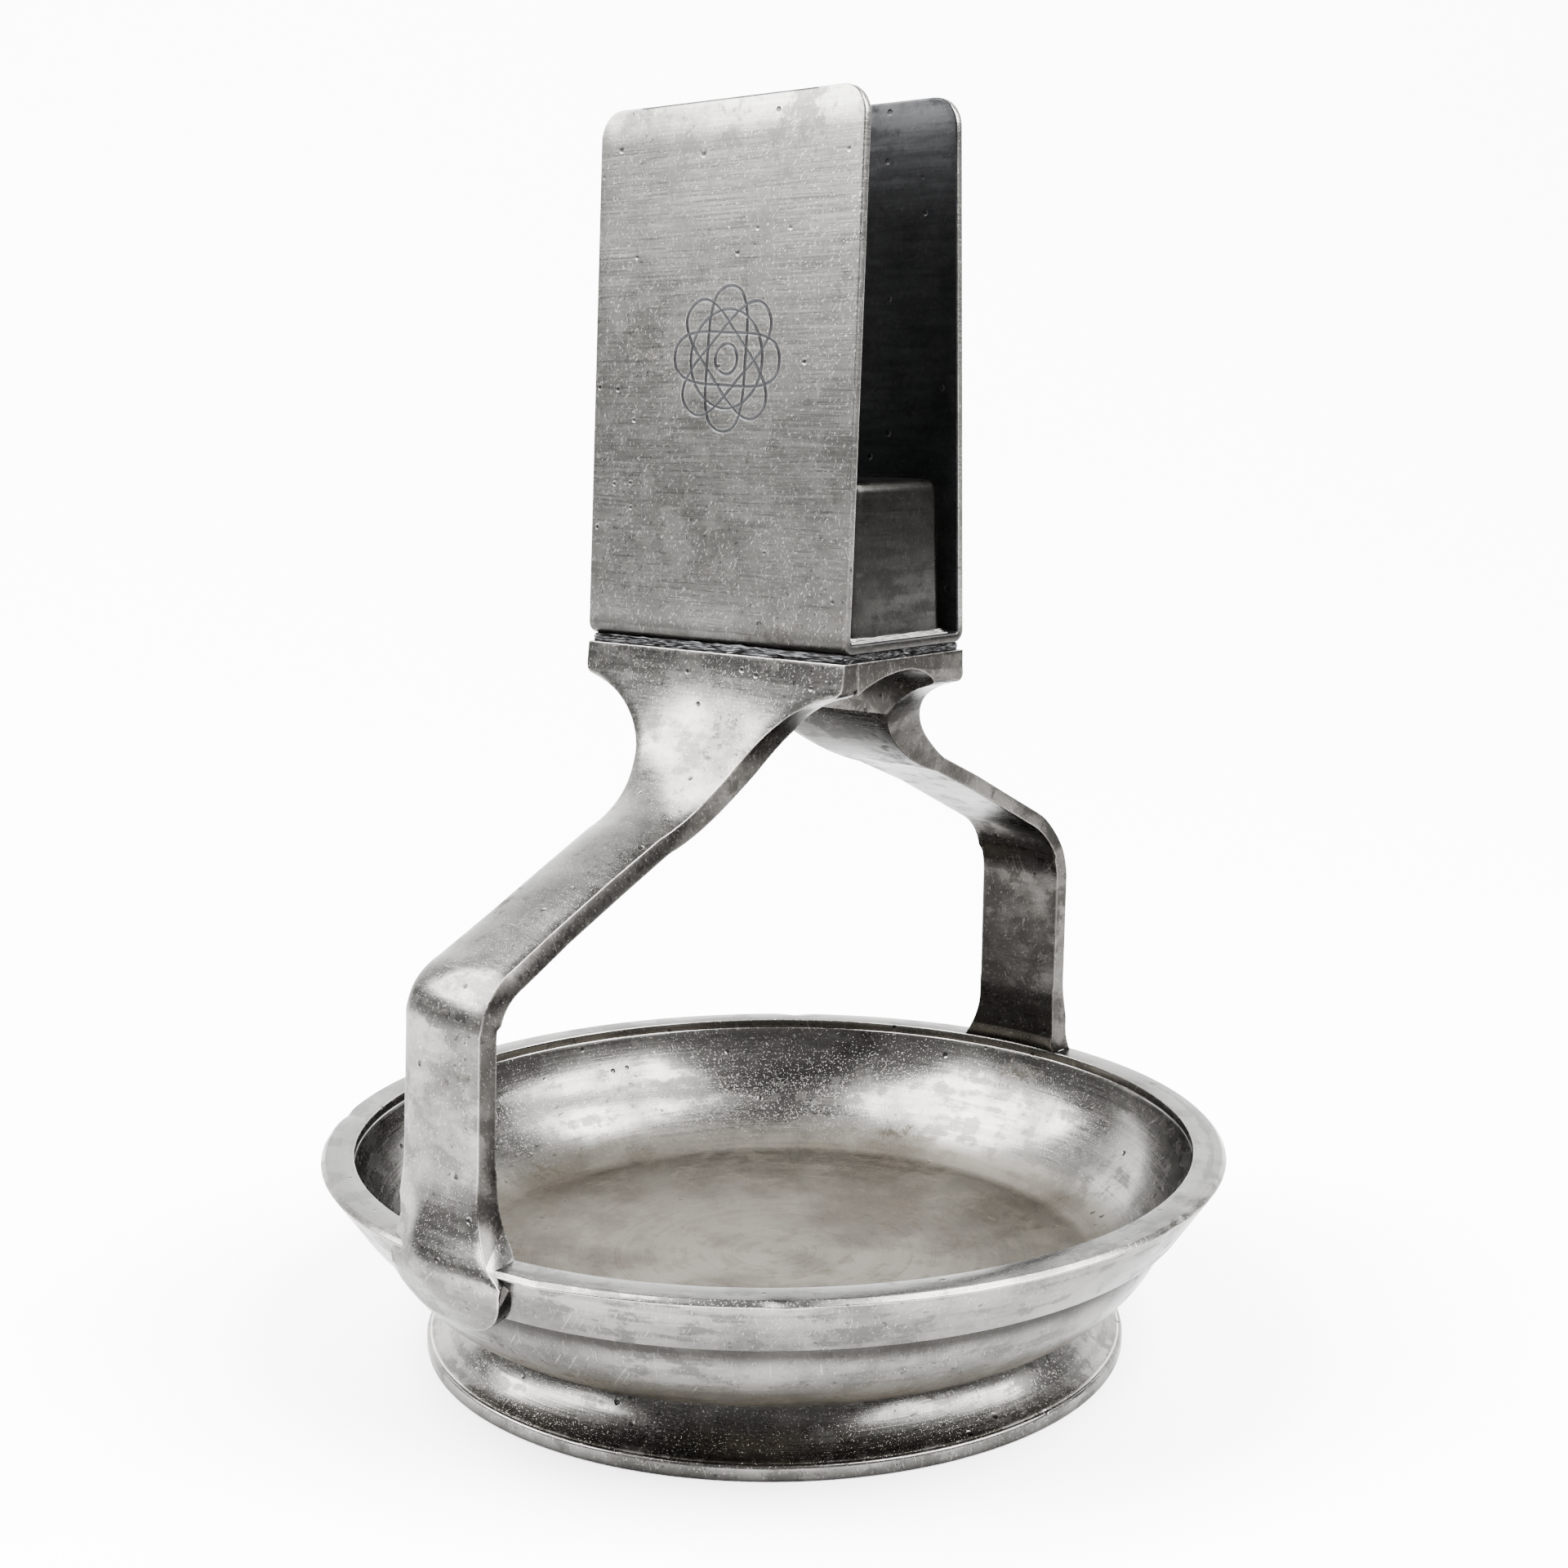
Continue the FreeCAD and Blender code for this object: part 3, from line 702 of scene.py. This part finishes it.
# %% Cut the rosette
choose(lines[0])
for line in lines:
    line.select_set(True)
bpy.ops.object.join()
cutter = bpy.context.object
before = metal_left(clip)
apply_modifier(clip, "BOOLEAN", operation="DIFFERENCE", solver="EXACT", object=cutter, use_self=True)
print("metal cut away, mm3:", round(before - metal_left(clip), 2))
choose(cutter)
bpy.ops.object.delete()
choose(clip)
bpy.ops.object.shade_smooth_by_angle(angle=math.radians(30))
print("clip:", len(clip.data.polygons), "faces")

# %% [markdown]
# ## Studio
#
# The stand is on white paper that runs back and curves up, so that no horizon shows. It is a plane whose
# far edge is extruded upwards, and whose fold is a wide bevel. The sweep is turned to face the camera.

# %% Floor
bpy.ops.mesh.primitive_plane_add(size=1.6)
paper = fresh("paper_sweep")
pick("EDGE", lambda edge: middle(edge).y > 790)
bpy.ops.mesh.extrude_region_move()
bpy.ops.transform.translate(value=(0, 0, 0.9))
pick("EDGE", lambda edge: middle(edge).y > 790 and middle(edge).z < 1)
bpy.ops.mesh.bevel(offset=0.35, segments=24, affect="EDGES")
bpy.ops.mesh.select_all(action="SELECT")
bpy.ops.transform.translate(value=(0, -0.25, 0))
bpy.ops.transform.rotate(value=-VIEW_AZIMUTH, orient_axis="Z", center_override=(0, 0, 0))
bpy.ops.object.mode_set(mode="OBJECT")
choose(paper)
bpy.ops.object.shade_smooth()
paper_material = bpy.data.materials.new("paper")
paper_material.use_nodes = True
paper_shader = paper_material.node_tree.nodes["Principled BSDF"]
paper_shader.inputs["Base Color"].default_value = (0.9, 0.9, 0.9, 1)
paper_shader.inputs["Roughness"].default_value = 0.6
paper.data.materials.append(paper_material)
paper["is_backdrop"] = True
print("paper:", len(paper.data.polygons), "faces")

# %% [markdown]
# Polished metal shows what is around it, so the light is mostly the room. An even pale world fills in,
# and three large softboxes, on the left, on the right and behind, give the broad bright bands with darker
# metal between them. Large lamps close by also keep the shadow on the paper faint.

# %% World and softboxes
world = bpy.data.worlds.new("studio")
bpy.context.scene.world = world
world.use_nodes = True
world.node_tree.nodes["Background"].inputs["Color"].default_value = (0.8, 0.8, 0.8, 1)
world.node_tree.nodes["Background"].inputs["Strength"].default_value = 1.0
AIM_HEIGHT = 0.06


def softbox(name, azimuth, elevation, distance, width, height, power):
    """A rectangular lamp that looks at the stand."""
    data = bpy.data.lights.new(name, "AREA")
    data.shape = "RECTANGLE"
    data.size = width
    data.size_y = height
    data.energy = power
    lamp = bpy.data.objects.new(name, data)
    bpy.context.scene.collection.objects.link(lamp)
    turn = math.radians(azimuth)
    rise = math.radians(elevation)
    out = (math.sin(turn) * math.cos(rise), -math.cos(turn) * math.cos(rise), math.sin(rise))
    lamp.location = [distance * value for value in out]
    lamp.location.z += AIM_HEIGHT
    lamp.rotation_euler = (math.pi / 2 - rise, 0, turn)
    return lamp


softbox("left_softbox", -45, 46, 0.65, 0.6, 0.6, 56)
softbox("right_softbox", 110, 46, 0.65, 0.63, 0.56, 60)
softbox("rear_softbox", 222, 44, 0.95, 1.0, 0.4, 40)
print("lamps:", [light.name for light in bpy.data.lights])

# %% [markdown]
# ## Worn silver plate
#
# A material is a tree of nodes, and these materials have dozens of them. The helpers below add a node and
# feed its inputs in one line each: a Math node, a smooth step between two limits, a mix of two colours, a
# noise, and a value made to sway about itself by a noise.

# %% Node helpers
def node(tree, kind, sources=None, **settings):
    """Add a shader node, set it, and feed its inputs from other nodes' outputs or with plain values."""
    made = tree.nodes.new("ShaderNode" + kind)
    for name, value in settings.items():
        setattr(made, name, value)
    for name, source in (sources or {}).items():
        if isinstance(source, bpy.types.NodeSocket):
            tree.links.new(source, made.inputs[name])
        else:
            made.inputs[name].default_value = source
    return made


def maths(tree, operation, first, second=0.0, third=0.0):
    """The result of a Math node."""
    sources = {0: first, 1: second, 2: third}
    return node(tree, "Math", sources, operation=operation).outputs[0]


def ramp(tree, value, low, high, to_low=0.0, to_high=1.0):
    """A smooth step of a value between two limits."""
    sources = {"Value": value, "From Min": low, "From Max": high, "To Min": to_low, "To Max": to_high}
    return node(tree, "MapRange", sources, interpolation_type="SMOOTHSTEP").outputs[0]


def noise(tree, vector, scale, detail, roughness=0.5):
    """A noise of a few sizes at once, between 0 and 1."""
    sources = {"Vector": vector, "Scale": scale, "Detail": detail, "Roughness": roughness}
    return node(tree, "TexNoise", sources).outputs[0]


def sway(tree, value, ripple, amount):
    """A value that a noise moves up and down about itself."""
    return maths(tree, "MULTIPLY_ADD", maths(tree, "SUBTRACT", ripple, 0.5), amount, value)


def blend(tree, share, first, second):
    """A colour between two, given as sockets or as (red, green, blue)."""
    mix = node(tree, "Mix", {0: share}, data_type="RGBA")
    for number, colour in ((6, first), (7, second)):
        if isinstance(colour, bpy.types.NodeSocket):
            tree.links.new(colour, mix.inputs[number])
        else:
            mix.inputs[number].default_value = (*colour, 1)
    return mix.outputs[2]


def lay(tree, colour, mask, strength, over):
    """Lay one colour over another where a mask is bright."""
    return blend(tree, maths(tree, "MULTIPLY", mask, strength), colour, over)


# %% [markdown]
# Spinning and filing leave fine parallel marks, and a noise squeezed in two directions and pulled out in
# the third looks the same. On a turned piece the marks run round the axis, so there the noise reads the
# distance from the axis and the height. Scratches are a far longer stretch, of which only the highest
# peaks are kept.

# %% Brush marks and scratches
def grain_vector(tree, place, grain, fine):
    """Coordinates for fine brush marks: round the axis, along an arm, or across a plate."""
    if grain == "round":
        flat = node(tree, "VectorMath", {0: place, 1: (1, 1, 0)}, operation="MULTIPLY").outputs[0]
        radius = node(tree, "VectorMath", {0: flat}, operation="LENGTH").outputs["Value"]
        split = node(tree, "SeparateXYZ", {0: place})
        across = maths(tree, "MULTIPLY", radius, fine)
        upward = maths(tree, "MULTIPLY", split.outputs["Z"], fine)
        around = maths(tree, "MULTIPLY", maths(tree, "ADD", split.outputs["X"], split.outputs["Y"]), 60)
        return node(tree, "CombineXYZ", {"X": across, "Y": upward, "Z": around}).outputs[0]
    stretch = {"along": (140, fine / 2, fine / 2), "plate": (110, 110, fine)}[grain]
    return node(tree, "Mapping", {"Vector": place, "Scale": stretch}).outputs[0]


def streaks(tree, place, turn, across, along, rare):
    """Straight scratches in one direction: a stretched noise, of which only the peaks are kept."""
    turned_place = node(tree, "Mapping", {"Vector": place, "Rotation": turn})
    stretched = node(tree, "Mapping", {"Vector": turned_place.outputs[0], "Scale": (along, across, across)})
    return ramp(tree, noise(tree, stretched.outputs[0], 1, 1), rare, rare + 0.05)


# %% [markdown]
# Colour, gloss and relief all read the same patterns, because a pit is dark, dull and deep in one place.
# The patterns are broad clouds, specks, patches where the plate has gone dull, pits in some cells of a
# Voronoi texture, short nicks, and tarnish where the clouds, specks and marks add up.

# %% Wear patterns
def wear_patterns(tree, place, grain, stain, scratch, brushed):
    """Masks and noises of one worn surface."""
    wear = SimpleNamespace()
    wear.brush = noise(tree, grain_vector(tree, place, grain, 4200), 1, 3, 0.65)
    wear.drag = noise(tree, grain_vector(tree, place, grain, 700), 1, 4, 0.6)
    wear.cloud = noise(tree, place, 75, 7, 0.62)
    wear.speck = noise(tree, place, 900, 4, 0.6)
    wear.swell = noise(tree, place, 60, 1)

    lines = streaks(tree, place, (0.3, 0.7, 0.5), 5200, 26, 0.68)
    for turn in ((1.2, -0.6, 1.9), (-0.8, 1.3, -0.4)):
        lines = maths(tree, "MAXIMUM", lines, streaks(tree, place, turn, 6000, 34, 0.685))
    wear.lines = maths(tree, "MULTIPLY", lines, scratch)

    cells = node(tree, "TexVoronoi", {"Vector": place, "Scale": 420})
    chance = node(tree, "SeparateXYZ", {0: cells.outputs["Color"]}).outputs[0]
    pits = ramp(tree, cells.outputs["Distance"], 0.07, 0.16, 1.0, 0.0)
    wear.pits = maths(tree, "MULTIPLY", pits, maths(tree, "GREATER_THAN", chance, 0.72))

    worn = sway(tree, sway(tree, wear.cloud, wear.speck, 0.55), wear.drag, 0.35)
    level = 0.78 - 0.24 * stain
    wear.tarnish = ramp(tree, worn, level, level + 0.14)
    patch = sway(tree, noise(tree, place, 240, 9, 0.68), wear.drag, brushed)
    wear.patches = ramp(tree, patch, 0.5, 0.6)

    stretch = {"Vector": place, "Rotation": (0.4, 0.2, 0.5), "Scale": (2200, 700, 2200)}
    nicks = noise(tree, node(tree, "Mapping", stretch).outputs[0], 1, 2)
    wear.nicks = maths(tree, "MULTIPLY", ramp(tree, nicks, 0.66, 0.7), ramp(tree, wear.cloud, 0.46, 0.56))
    return wear


# %% [markdown]
# Polish reaches the edges most, so the colour is lighter there, and a painted highlight is laid along
# them as well. The Ambient Occlusion node finds the crevices, where the colour is darkened as painted
# shade. The Bevel node finds the edges: it rounds the normal near them, so there its normal turns away
# from the true one.

# %% Crevices and edges
def add_corners(tree, wear):
    """Add the masks of crevices, for painted shade, and of rubbed edges, also for a painted highlight."""
    open_air = node(tree, "AmbientOcclusion", {"Distance": 2.2 * MM}, samples=8).outputs["AO"]
    rounded = node(tree, "Bevel", {"Radius": 0.3 * MM}, samples=4).outputs[0]
    wear.normal = node(tree, "NewGeometry").outputs["Normal"]
    match = node(tree, "VectorMath", {0: rounded, 1: wear.normal}, operation="DOT_PRODUCT").outputs["Value"]
    # the crevice mask: there the colour is darkened as painted shade, and the gloss is dulled
    wear.crevice = ramp(tree, open_air, 0.3, 0.9, 1.0, 0.0)
    # the edge mask: lighter rubbed metal, together with a painted highlight along the edge
    turned_away = ramp(tree, match, 0.9, 0.99, 1.0, 0.0)
    wear.edge = maths(tree, "MULTIPLY", turned_away, ramp(tree, open_air, 0.6, 0.9))


# %% [markdown]
# The colour starts from the clean metal and its duller tint. Wear is laid over it in the order in which
# it came: dull clouds and patches, tarnish, bright scratches, and rubbed edges that also get a painted
# highlight. On top go dark pits and nicks, and painted shade in the crevices and in bands of heights,
# such as under the rim, the bands only on faces that turn down far enough.

# %% Colour of the worn metal
# colour of the dark pits and nicks, and of the painted shade in crevices and height bands
DIRT_AND_SHADE = (0.008, 0.0075, 0.007)


def shade_band_mask(tree, height, outside, start, end, facing):
    """Painted shade that is full at the end height and gone at the start height (mm), on faces below one
    slope.
    """
    if end > start:
        line = ramp(tree, height, start * MM, end * MM)
    else:
        line = ramp(tree, height, end * MM, start * MM, 1.0, 0.0)
    return maths(tree, "MULTIPLY", line, maths(tree, "LESS_THAN", outside, facing))


def metal_colour(tree, wear, tone, stain_tone, brushed, blotch, shade_bands):
    """Lay all the wear, the painted shade and the painted edge highlight over the metal's tone."""
    tint = tuple(value * 0.36 for value in tone)
    bright = tuple(min(value * 3, 0.9) for value in tone)
    colour = blend(tree, ramp(tree, wear.cloud, 0.4, 0.66), tone, tint)
    colour = lay(tree, colour, ramp(tree, wear.swell, 0.45, 0.7), 0.4, tint)
    colour = lay(tree, colour, ramp(tree, wear.drag, 0.42, 0.66), brushed, tint)
    colour = lay(tree, colour, wear.patches, blotch, tint)
    colour = lay(tree, colour, ramp(tree, wear.speck, 0.55, 0.72), 0.5, tint)
    colour = lay(tree, colour, wear.tarnish, 0.85, stain_tone)
    colour = lay(tree, colour, wear.lines, 0.3, bright)
    # rubbed edges: lighter metal, and a painted highlight laid along them
    colour = lay(tree, colour, wear.edge, 0.8, bright)
    # dark pits and nicks, plus painted shade from the crevice and height-band masks
    dirt_and_shade = maths(tree, "MULTIPLY", wear.crevice, 0.85)
    dirt_and_shade = maths(tree, "MAXIMUM", dirt_and_shade, maths(tree, "MULTIPLY", wear.pits, 0.8))
    dirt_and_shade = maths(tree, "MAXIMUM", dirt_and_shade, maths(tree, "MULTIPLY", wear.nicks, 0.75))
    # bands of painted shade at given heights, such as under the rim
    for start, end, facing in shade_bands:
        line = shade_band_mask(tree, wear.height, wear.outside, start, end, facing)
        dirt_and_shade = maths(tree, "MAXIMUM", dirt_and_shade, maths(tree, "MULTIPLY", line, 0.9))
    return blend(tree, dirt_and_shade, colour, DIRT_AND_SHADE)


# %% [markdown]
# Two places get a colour of their own. The rim's flat top is painted in shade, darker than its side, and
# the dish floor, where ash and matches lay, is matt and warmer than the wall. Each is a mask from the
# face's direction or its height.

# %% Places of their own
RIM_TOP_SHADE = (0.02, 0.02, 0.019)
FLOOR_TONES = ((0.062, 0.055, 0.044), (0.036, 0.031, 0.024))


def shade_top_faces(tree, wear, colour, strength):
    """Darken the faces that look straight up, as painted shade."""
    return lay(tree, colour, ramp(tree, wear.outside, 0.95, 0.99), strength, RIM_TOP_SHADE)


def dull_floor(tree, wear, colour, gloss, start, end):
    """Make everything below a height warm and matt, and return the new colour and roughness."""
    mat = ramp(tree, wear.height, start * MM, end * MM, 1.0, 0.0)
    floor_tone = blend(tree, ramp(tree, wear.cloud, 0.42, 0.62), *FLOOR_TONES)
    return lay(tree, colour, mat, 0.8, floor_tone), maths(tree, "MULTIPLY_ADD", mat, 0.26, gloss)


# %% [markdown]
# The gloss sways with the brush marks and clouds, and tarnish and crevices are duller. The relief is
# tiny: a few thousandths of a millimetre for the marks, a little more for the pits, and a slow swell that
# bends the reflections as hammered or much-polished metal does.

# %% Gloss and relief
def metal_gloss(tree, wear, rough):
    """Roughness of the open surface."""
    gloss = sway(tree, sway(tree, rough, wear.brush, 0.25), wear.cloud, 0.3)
    gloss = maths(tree, "MULTIPLY_ADD", wear.tarnish, 0.22, gloss)
    return maths(tree, "MULTIPLY_ADD", wear.patches, 0.1, gloss)


def metal_relief(tree, wear, wave):
    """Normals of the marks, scratches, pits and swells."""
    relief = maths(tree, "MULTIPLY", wear.brush, 0.006)
    for pattern, depth in ((wear.drag, 0.008), (wear.lines, -0.006), (wear.pits, -0.05),
                           (wear.tarnish, -0.01), (wear.swell, wave * 5)):
        relief = maths(tree, "MULTIPLY_ADD", pattern, depth, relief)
    return node(tree, "Bump", {"Height": relief, "Strength": 1.0, "Distance": MM}).outputs[0]


# %% [markdown]
# Now one function makes a whole material. Its settings are what differs between the pieces: the direction
# of the grain, the tone, how rough, stained, scratched, blotched and brushed it is, and how bright it
# stays when seen at a grazing angle. Clean metal turns mirror-bright there and a tarnished film does not,
# which Specular Tint sets.

# %% One material
def worn_metal(name, grain, tone=(0.115, 0.112, 0.105), rough=0.24, stain=0.5,
               stain_tone=(0.02, 0.018, 0.015), scratch=1.0, dull=None, wave=0.02, top=0.0,
               blotch=0.85, shade_bands=(), brushed=0.5, graze=0.6):
    """Old silver plate: brush marks, scratches, pits, tarnish, painted shade in crevices, and worn edges with
    a painted highlight.
    """
    material = bpy.data.materials.new(name)
    material.use_nodes = True
    tree = material.node_tree
    shader = tree.nodes["Principled BSDF"]
    shader.inputs["Metallic"].default_value = 1
    shader.inputs["Specular Tint"].default_value = (graze, graze, graze, 1)
    place = node(tree, "TexCoord").outputs["Object"]

    wear = wear_patterns(tree, place, grain, stain, scratch, brushed)
    add_corners(tree, wear)
    wear.height = node(tree, "SeparateXYZ", {0: place}).outputs["Z"]
    wear.outside = node(tree, "SeparateXYZ", {0: wear.normal}).outputs["Z"]

    colour = metal_colour(tree, wear, tone, stain_tone, brushed, blotch, shade_bands)
    gloss = metal_gloss(tree, wear, rough)
    # painted shade on the faces that look straight up
    if top:
        colour = shade_top_faces(tree, wear, colour, top)
    if dull:
        colour, gloss = dull_floor(tree, wear, colour, gloss, *dull)
    gloss = maths(tree, "MULTIPLY_ADD", wear.crevice, 0.25, gloss)
    gloss = maths(tree, "MINIMUM", maths(tree, "MAXIMUM", gloss, 0.06), 0.85)
    tree.links.new(colour, shader.inputs["Base Color"])
    tree.links.new(gloss, shader.inputs["Roughness"])
    tree.links.new(metal_relief(tree, wear, wave), shader.inputs["Normal"])
    return material


# %% [markdown]
# The outsides are polished. Turned pieces take a round grain, castings a grain along the arm, and the
# cheeks a plain one with less brushing and more stain. The inner sides of the arms, the inside of the clip
# and its lug are nearly black, tarnish together with painted shade, and solder is a duller grey.

# %% Metals of the stand
# shade_bands: painted shade by the foot's neck, under the rim band, above the foot, and low on the clip
turned_silver = worn_metal("turned_silver", "round", rough=0.2, stain=0.5, shade_bands=((5.4, 6.8, 1.1),))
# top: painted shade on the rim's flat top
rim_silver = worn_metal("rim_silver", "round", rough=0.24, stain=0.5, top=0.55)
bowl_silver = worn_metal("bowl_silver", "round", rough=0.2, stain=0.6, dull=(8.5, 12.0),
                         shade_bands=((12.8, 14.9, 0.0), (8.3, 7.0, 0.0)))
cast_silver = worn_metal("cast_silver", "along", rough=0.22, stain=0.6)
# a darker copy of the cast metal for the arms' sides and inner faces: tarnish, and painted shade
arm_tarnish_and_shade = worn_metal("arm_tarnish_and_shade", "along", tone=(0.034, 0.0325, 0.03), rough=0.26, stain=0.7,
                           stain_tone=(0.012, 0.011, 0.01), graze=0.5)
plate_silver = worn_metal("plate_silver", "plate", tone=(0.125, 0.1225, 0.115), rough=0.28, stain=0.65,
                          stain_tone=(0.025, 0.023, 0.02), shade_bands=((78.6, 76.4, 1.1),), brushed=0.14)
# nearly black metal for the clip's inside, its grooves and the solder bed: tarnish and dirt, with painted
# shade
black_tarnish_and_shade = worn_metal("black_tarnish_and_shade", "plate", tone=(0.018, 0.0182, 0.019), rough=0.4, stain=0.5,
                              stain_tone=(0.006, 0.006, 0.006), scratch=0.4)
# the lug, between the clip's cheeks, is nearly black: tarnish, with painted shade
lug_tarnish_and_shade = worn_metal("lug_tarnish_and_shade", "plate", tone=(0.013, 0.0127, 0.0118), rough=0.32, stain=0.8,
                        stain_tone=(0.01, 0.01, 0.009), scratch=0.6)
solder_grey = worn_metal("solder_grey", "plate", tone=(0.14, 0.137, 0.13), rough=0.4, stain=0.7,
                         stain_tone=(0.01, 0.01, 0.01), scratch=0.0)
print("metals:", [material.name for material in bpy.data.materials if material.use_nodes])

# %% [markdown]
# The clip needs two finishes: polished plate outside, and a nearly black one, tarnish with painted shade,
# between the cheeks and on the floor, which also stands for the dark dirt in the engraved lines. Its
# faces are sorted by where they are.

# %% Finishes on the clip and the lug
clip.data.materials.append(plate_silver)
clip.data.materials.append(black_tarnish_and_shade)
for face in clip.data.polygons:
    x, y, z = (value / MM for value in face.center)
    facing_in = face.normal.y * (-1 if y > 0 else 1) > 0.5
    on_floor = face.normal.z > 0.5 and z < CLIP_BASE + 3
    sunk = y - front_face_reach(z)
    in_groove = 0.01 < sunk < 0.5 and abs(x) < 12 and z > CLIP_BASE + 10
    # the nearly black faces: tarnish and painted shade between the cheeks and on the floor, dirt in the
    # grooves
    if in_groove or on_floor or (facing_in and (y > 0 or sunk > 0.5)):
        face.material_index = 1
lug.data.materials.append(lug_tarnish_and_shade)
bead.data.materials.append(solder_grey)
choose(lug)
bead.select_set(True)
bpy.ops.object.join()
print("dark faces of the clip:", sum(face.material_index for face in clip.data.polygons))

# %% [markdown]
# The other pieces take one finish each, and the arms a second one. A polishing cloth runs over an arm's
# outer face, and hardly touches its narrow sides or the face turned in to the dish, so those take a darker
# copy of the metal: tarnish, and painted shade as well.

# %% Finishes on the dish and the arms
SURFACES = {"foot_wire_ring": turned_silver, "flared_foot": turned_silver, "ash_bowl": bowl_silver,
            "rim_ring": rim_silver, "front_arm_casting": cast_silver, "rear_arm_casting": cast_silver,
            "solder_bed": black_tarnish_and_shade}
# the solder bed's near-black is solder and dirt, with the painted shade of the groove under the clip's bends
for piece in (foot_wire, foot_flare, ash_bowl, rim, front_arm, rear_arm, solder_bed):
    piece.data.materials.append(SURFACES[piece.name])
# faces turned in or to the side get the darker copy: painted shade, with tarnish
for arm, outward in ((front_arm, -1), (rear_arm, 1)):
    arm.data.materials.append(arm_tarnish_and_shade)
    for face in arm.data.polygons:
        lean = face.normal.y * outward * 0.8 + face.normal.z * 0.6
        on_side = abs(face.normal.x) > 0.8
        if on_side or (lean < 0.35 and face.center.z > 24 * MM):
            face.material_index = 1
    print(arm.name, "shaded faces:", sum(face.material_index for face in arm.data.polygons))

# %% [markdown]
# ## Hand over
#
# Each piece takes the place of its plain CAD node and rides on the stand's only body; the table also
# lists the material slot of the part's record that each shows. Last, the visual model's box is printed.

# %% Join the pieces to the part
PIECES = ((foot_wire, "foot_wire", "silver_plate"), (foot_flare, "foot_ring", "silver_plate"),
          (ash_bowl, "dish_bowl", "dish_plate"), (rim, "rim_band", "silver_plate"),
          (front_arm, "front_arm", "silver_plate"), (rear_arm, "rear_arm", "silver_plate"),
          (solder_bed, "seat_plate", "tarnished_plate"), (clip, "spring_clip", "silver_plate"),
          (lug, "box_lug", "tarnished_plate"))
for piece, replaced, slot in PIECES:
    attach(piece, "root")
    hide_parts(replaced)

VISUAL_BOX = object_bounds()
for corner in VISUAL_BOX:
    print([round(value / MM, 2) for value in corner])
